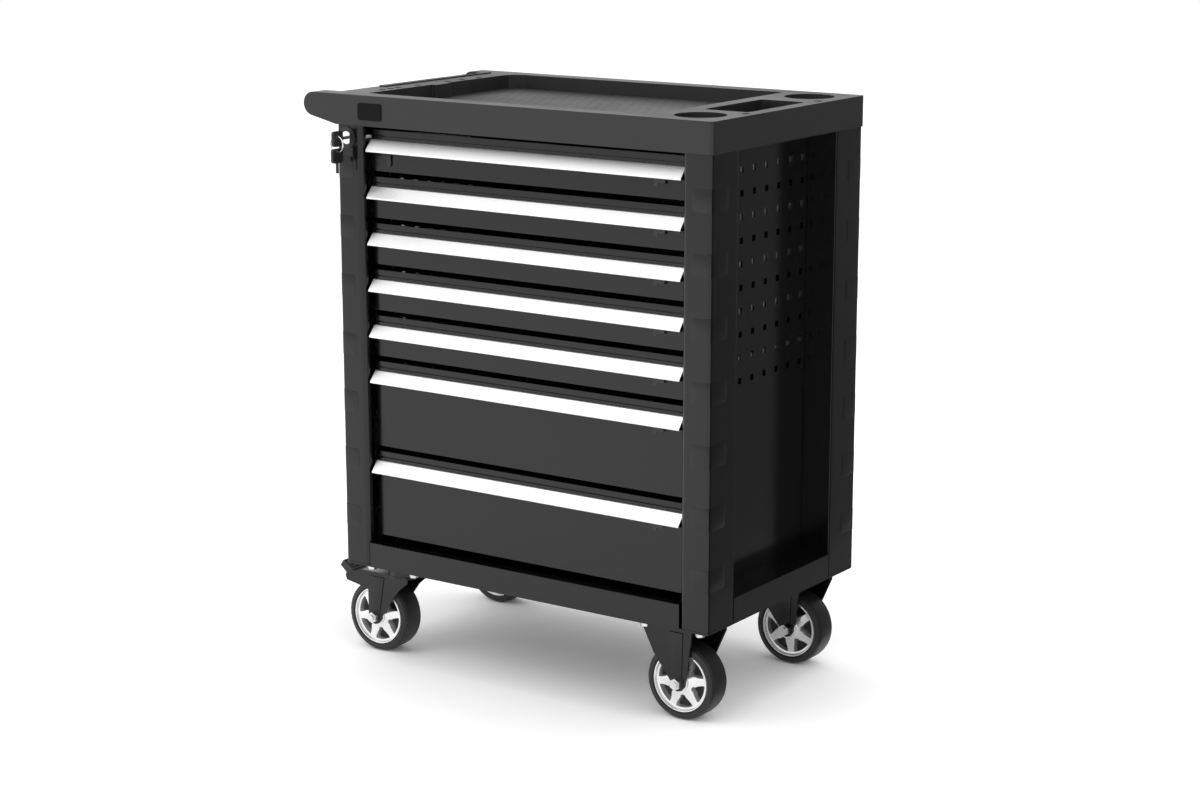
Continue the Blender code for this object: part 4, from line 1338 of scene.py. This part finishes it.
# The rib down a caster leg: its outline over X and Z from the axle, its place off the
# wheel's middle, its thickness and its round edge
RIBS = {
    "left": ((-0.0100, 0.0125), (0.0125, 0.0125), (0.0230, 0.0740), (-0.0110, 0.0740)),
    "right": ((-0.0115, 0.0125), (0.0085, 0.0125), (0.0105, 0.0860), (-0.0160, 0.0860)),
}
RIB_PLACE = 0.0298
RIB_THICKNESS = 0.0018
RIB_EDGE = 0.0012
# The bolts under a mount plate: the spread of the four over X and Y, the shift of the
# fixed ones, and the head and the washer as (radius, bottom, top, faces)
SWIVEL_BOLT_SPREAD = 0.092
FIXED_BOLT_SPREAD = 0.105
FIXED_BOLT_SHIFT = -0.0045
BOLT_CROSS_SPREAD = 0.077
BOLT_STACK = ((0.0080, 0.1532, 0.1606, 6), (0.0095, 0.1604, 0.1616, 24))
SHORTEST_BOLT_EDGE = 0.002
# The ridges on a pedal's tread, which runs from start to end as seen from the axle
TREAD_START = Vector((-0.0785, 0, 0.0866))
TREAD_END = Vector((-0.0560, 0, 0.0712))
RIDGES = 5
FIRST_RIDGE_SHARE = 0.06
RIDGE_STEP_SHARE = 0.21
RIDGE_LENGTH = 0.035
RIDGE_FOOT_HALF = 0.0013
RIDGE_TOP_HALF = 0.0009
RIDGE_SUNK = 0.0006
RIDGE_RISE = 0.0012


class TOOLCART_OT_forks(bpy.types.Operator):
    """Finishes the forks, brackets, mounts, axle bolts and pedals"""

    bl_idname = "toolcart.forks"
    bl_label = "Forks and Brackets"

    def execute(self, context):
        paint = black_paint()
        for end in ENDS:
            softened(f"swivel_fork_{end}", LEG_EDGE, paint)
            softened(f"fixed_bracket_{end}", LEG_EDGE, paint)
            dress((f"swivel_mount_{end}",), paint)
            for side in SIDES:
                softened(f"axle_{end}_{side}", AXLE_EDGE, zinc())
            pedal = f"brake_pedal_{end}"
            softened(pedal, LEG_EDGE, black_plastic())
            pedal_ridges(end)
            for side, node in (("left", "swivel_fork"), ("right", "fixed_bracket")):
                leg_ribs(f"{node}_{end}", f"tyre_{end}_{side}", RIBS[side], paint)
            mount_bolts(f"swivel_mount_{end}", SWIVEL_BOLT_SPREAD, 0.0)
            mount_bolts(
                f"fixed_bracket_{end}",
                FIXED_BOLT_SPREAD,
                FIXED_BOLT_SHIFT,
                f"tyre_{end}_right",
            )
        return {"FINISHED"}


def leg_ribs(node, tyre, outline, paint):
    """The pressed rib down the outer face of each leg."""
    low, high = (Vector(c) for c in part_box(tyre))
    centre = (low + high) / 2
    ribs = []
    for way in (-1, 1):
        place = centre + Vector((0, way * RIB_PLACE, 0))
        points = [place + Vector((x, 0, z)) for x, z in outline]
        rib = plate_shape(points, (0, way, 0), RIB_THICKNESS)
        split = RIB_PLACE + RIB_THICKNESS / 2
        outer = [
            e
            for e in rib.edges
            if all(abs(v.co.y - centre.y) > split for v in e.verts)
        ]
        rounded_edges(rib, outer, RIB_EDGE, segments=3)
        ribs.append(rib)
    new_piece(f"{node}_ribs", merged(*ribs), body_with(node), paint)


def mount_bolts(node, spread, shift, tyre=None):
    """The four bright bolt heads under a mount plate, each on its washer, set about
    the node's middle or, where one is named, the tyre's."""
    low, high = (Vector(c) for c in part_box(tyre or node))
    centre = (low + high) / 2
    bolts = []
    for along in (-1, 1):
        for cross in (-1, 1):
            x = centre.x + shift + along * spread / 2
            y = centre.y + cross * BOLT_CROSS_SPREAD / 2
            for radius, bottom, top, steps in BOLT_STACK:
                disc = bmesh.new()
                bmesh.ops.create_cone(
                    disc,
                    cap_ends=True,
                    segments=steps,
                    radius1=radius,
                    radius2=radius,
                    depth=top - bottom,
                )
                middle = (x, y, (top + bottom) / 2)
                bmesh.ops.translate(disc, vec=middle, verts=disc.verts)
                rims = [e for e in disc.edges if e.calc_length() > SHORTEST_BOLT_EDGE]
                rounded_edges(disc, rims, SMALL_EDGE)
                bolts.append(disc)
    new_piece(f"{node}_bolts", merged(*bolts), body_with(node), zinc())


def pedal_ridges(end):
    """Raised ridges across a pedal's tread."""
    low, high = (Vector(c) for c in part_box(f"tyre_{end}_left"))
    axle = (low + high) / 2
    along = (TREAD_END - TREAD_START).normalized()
    off = Vector((-along.z, 0, along.x))
    ridges = []
    for step in range(RIDGES):
        share = FIRST_RIDGE_SHARE + RIDGE_STEP_SHARE * step
        middle = axle + TREAD_START.lerp(TREAD_END, share)
        middle.y -= RIDGE_LENGTH / 2
        outline = [
            middle - along * RIDGE_FOOT_HALF - off * RIDGE_SUNK,
            middle + along * RIDGE_FOOT_HALF - off * RIDGE_SUNK,
            middle + along * RIDGE_TOP_HALF + off * RIDGE_RISE,
            middle - along * RIDGE_TOP_HALF + off * RIDGE_RISE,
        ]
        ridges.append(plate_shape(outline, (0, 1, 0), RIDGE_LENGTH))
    new_piece(
        f"pedal_ridges_{end}",
        merged(*ridges),
        f"pedal_{end}",
        black_plastic(),
    )


# Studio

FLOOR_SIZE = 12.0
FLOOR_LIGHT = (0.62, 0.62, 0.62, 1.0)
AIM = Vector((0, 0, 0.5))
# Each lamp: its name, its place, its size and its share of the key lamp's power
LAMPS = (
    ("key lamp", (-1.8, -3.2, 3.4), 2.6, 1.0),
    ("side lamp", (3.4, -0.6, 2.6), 2.0, 0.35),
    ("top lamp", (0.2, 0.5, 3.6), 2.4, 0.6),
)
LENS = 76.4
SENSOR_WIDTH = 36.0
CAMERA_PLACE = (2.4331, -3.4656, 1.409)
CAMERA_TURN = (math.radians(90 - 12.69), 0, math.radians(34.52))
# The dark card: its lying part's size and middle, and how high the rest stands
CARD_SIZE = (0.36, 3.2, 1)
CARD_MIDDLE = (0.60, 1.25, 0.003)
CARD_HEIGHT = 2.6
CARD_COLOUR = (0.27, 0.27, 0.27)


class TOOLCART_OT_studio(bpy.types.Operator):
    """Sets up the floor, the sky, the lamps and the camera"""

    bl_idname = "toolcart.studio"
    bl_label = "Studio"

    def execute(self, context):
        studio = settings().studio
        scene = context.scene
        scene.view_settings.view_transform = "Standard"
        shape = bmesh.new()
        bmesh.ops.create_grid(shape, x_segments=1, y_segments=1, size=FLOOR_SIZE)
        floor = linked("floor", shape)
        floor.data.materials.append(floor_paint(studio.floor_colour))
        card = dark_card()
        card.visible_camera = False
        card.visible_diffuse = False
        card.visible_shadow = False
        scene.world = studio_sky(studio)
        for name, place, size, share in LAMPS:
            data = bpy.data.lights.new(name, "AREA")
            data.shape = "SQUARE"
            data.size = size
            data.energy = studio.key_power * share
            lamp = bpy.data.objects.new(name, data)
            lamp.location = place
            aim = AIM - Vector(place)
            lamp.rotation_euler = aim.to_track_quat("-Z", "Y").to_euler()
            scene.collection.objects.link(lamp)
        data = bpy.data.cameras.new("camera")
        data.lens = LENS
        data.sensor_width = SENSOR_WIDTH
        camera = bpy.data.objects.new("camera", data)
        camera.location = CAMERA_PLACE
        camera.rotation_euler = CAMERA_TURN
        scene.collection.objects.link(camera)
        scene.camera = camera
        return {"FINISHED"}


def matt_paint(name, colour):
    """The matt finish of the floor and of the dark card."""
    material, shader = fresh_material(name)
    shader.inputs["Base Color"].default_value = (*colour, 1.0)
    shader.inputs["Roughness"].default_value = 0.9
    shader.inputs["Specular IOR Level"].default_value = 0.0
    return material


def seen_ray(tree):
    """A socket that is 1 on a ray from the camera, off gloss or through glass."""
    path = tree.nodes.new("ShaderNodeLightPath")
    seen = path.outputs["Is Camera Ray"]
    for kind in ("Is Glossy Ray", "Is Transmission Ray"):
        seen = math_socket(tree, "MAXIMUM", seen, path.outputs[kind])
    return seen


def floor_paint(colour):
    """A white floor, bright where it is seen and darker as a light."""
    material = matt_paint("Floor", colour)
    nodes = material.node_tree.nodes
    link = material.node_tree.links.new
    tint = nodes.new("ShaderNodeMix")
    tint.data_type = "RGBA"
    tint.clamp_factor = True
    tint.inputs[6].default_value = FLOOR_LIGHT
    tint.inputs[7].default_value = (*colour, 1.0)
    link(seen_ray(material.node_tree), tint.inputs[0])
    link(tint.outputs[2], nodes["Principled BSDF"].inputs["Base Color"])
    return material


def dark_card():
    """A dark card that lies and stands to the right of the cart, seen in gloss only."""
    shape = bmesh.new()
    bmesh.ops.create_grid(shape, x_segments=1, y_segments=1, size=0.5)
    bmesh.ops.scale(shape, vec=CARD_SIZE, verts=shape.verts)
    bmesh.ops.translate(shape, vec=CARD_MIDDLE, verts=shape.verts)
    far_edge = [
        e for e in shape.edges if all(v.co.x > CARD_MIDDLE[0] for v in e.verts)
    ]
    raised = bmesh.ops.extrude_edge_only(shape, edges=far_edge)
    moved = [v for v in raised["geom"] if isinstance(v, bmesh.types.BMVert)]
    bmesh.ops.translate(shape, vec=(0, 0, CARD_HEIGHT), verts=moved)
    card = linked("dark card", shape)
    card.data.materials.append(matt_paint("Dark card", CARD_COLOUR))
    return card


def studio_sky(studio):
    """A white studio: full white where it is seen, and nearly so as a light."""
    world = bpy.data.worlds.new("Studio")
    world.use_nodes = True
    tree = world.node_tree
    background = tree.nodes["Background"]
    background.inputs["Color"].default_value = (1, 1, 1, 1)
    strength = math_socket(tree, "MAXIMUM", seen_ray(tree), studio.sky)
    tree.links.new(strength, background.inputs["Strength"])
    return world


class TOOLCART_PT_panel(bpy.types.Panel):
    """The tool cart's settings and steps"""

    bl_idname = "TOOLCART_PT_panel"
    bl_label = "Tool Cart"
    bl_space_type = "VIEW_3D"
    bl_region_type = "UI"
    bl_category = "Tool Cart"

    def draw(self, context):
        layout = self.layout
        cart = context.scene.tool_cart
        for label, group in (
            ("Paint", cart.paint),
            ("Tray", cart.tray),
            ("Trim", cart.trim),
            ("Wheels", cart.wheels),
            ("Studio", cart.studio),
        ):
            box = layout.box()
            box.label(text=label)
            for name in group.bl_rna.properties.keys():
                if name not in ("rna_type", "name"):
                    box.prop(group, name)
        for step in STEPS:
            layout.operator(step.bl_idname)


STEPS = (
    TOOLCART_OT_steelwork,
    TOOLCART_OT_pressed_rectangles,
    TOOLCART_OT_drawers,
    TOOLCART_OT_handles,
    TOOLCART_OT_handle_marks,
    TOOLCART_OT_tray,
    TOOLCART_OT_lock,
    TOOLCART_OT_wheels,
    TOOLCART_OT_forks,
    TOOLCART_OT_studio,
)
CLASSES = (
    PaintSettings,
    TraySettings,
    TrimSettings,
    WheelSettings,
    StudioSettings,
    CartSettings,
    *STEPS,
    TOOLCART_PT_panel,
)


def register():
    for cls in CLASSES:
        bpy.utils.register_class(cls)
    bpy.types.Scene.tool_cart = PointerProperty(type=CartSettings)


def unregister():
    del bpy.types.Scene.tool_cart
    for cls in reversed(CLASSES):
        bpy.utils.unregister_class(cls)


def main():
    register()
    for step in STEPS:
        group, name = step.bl_idname.split(".")
        getattr(getattr(bpy.ops, group), name)()


if __name__ == "__main__":
    main()
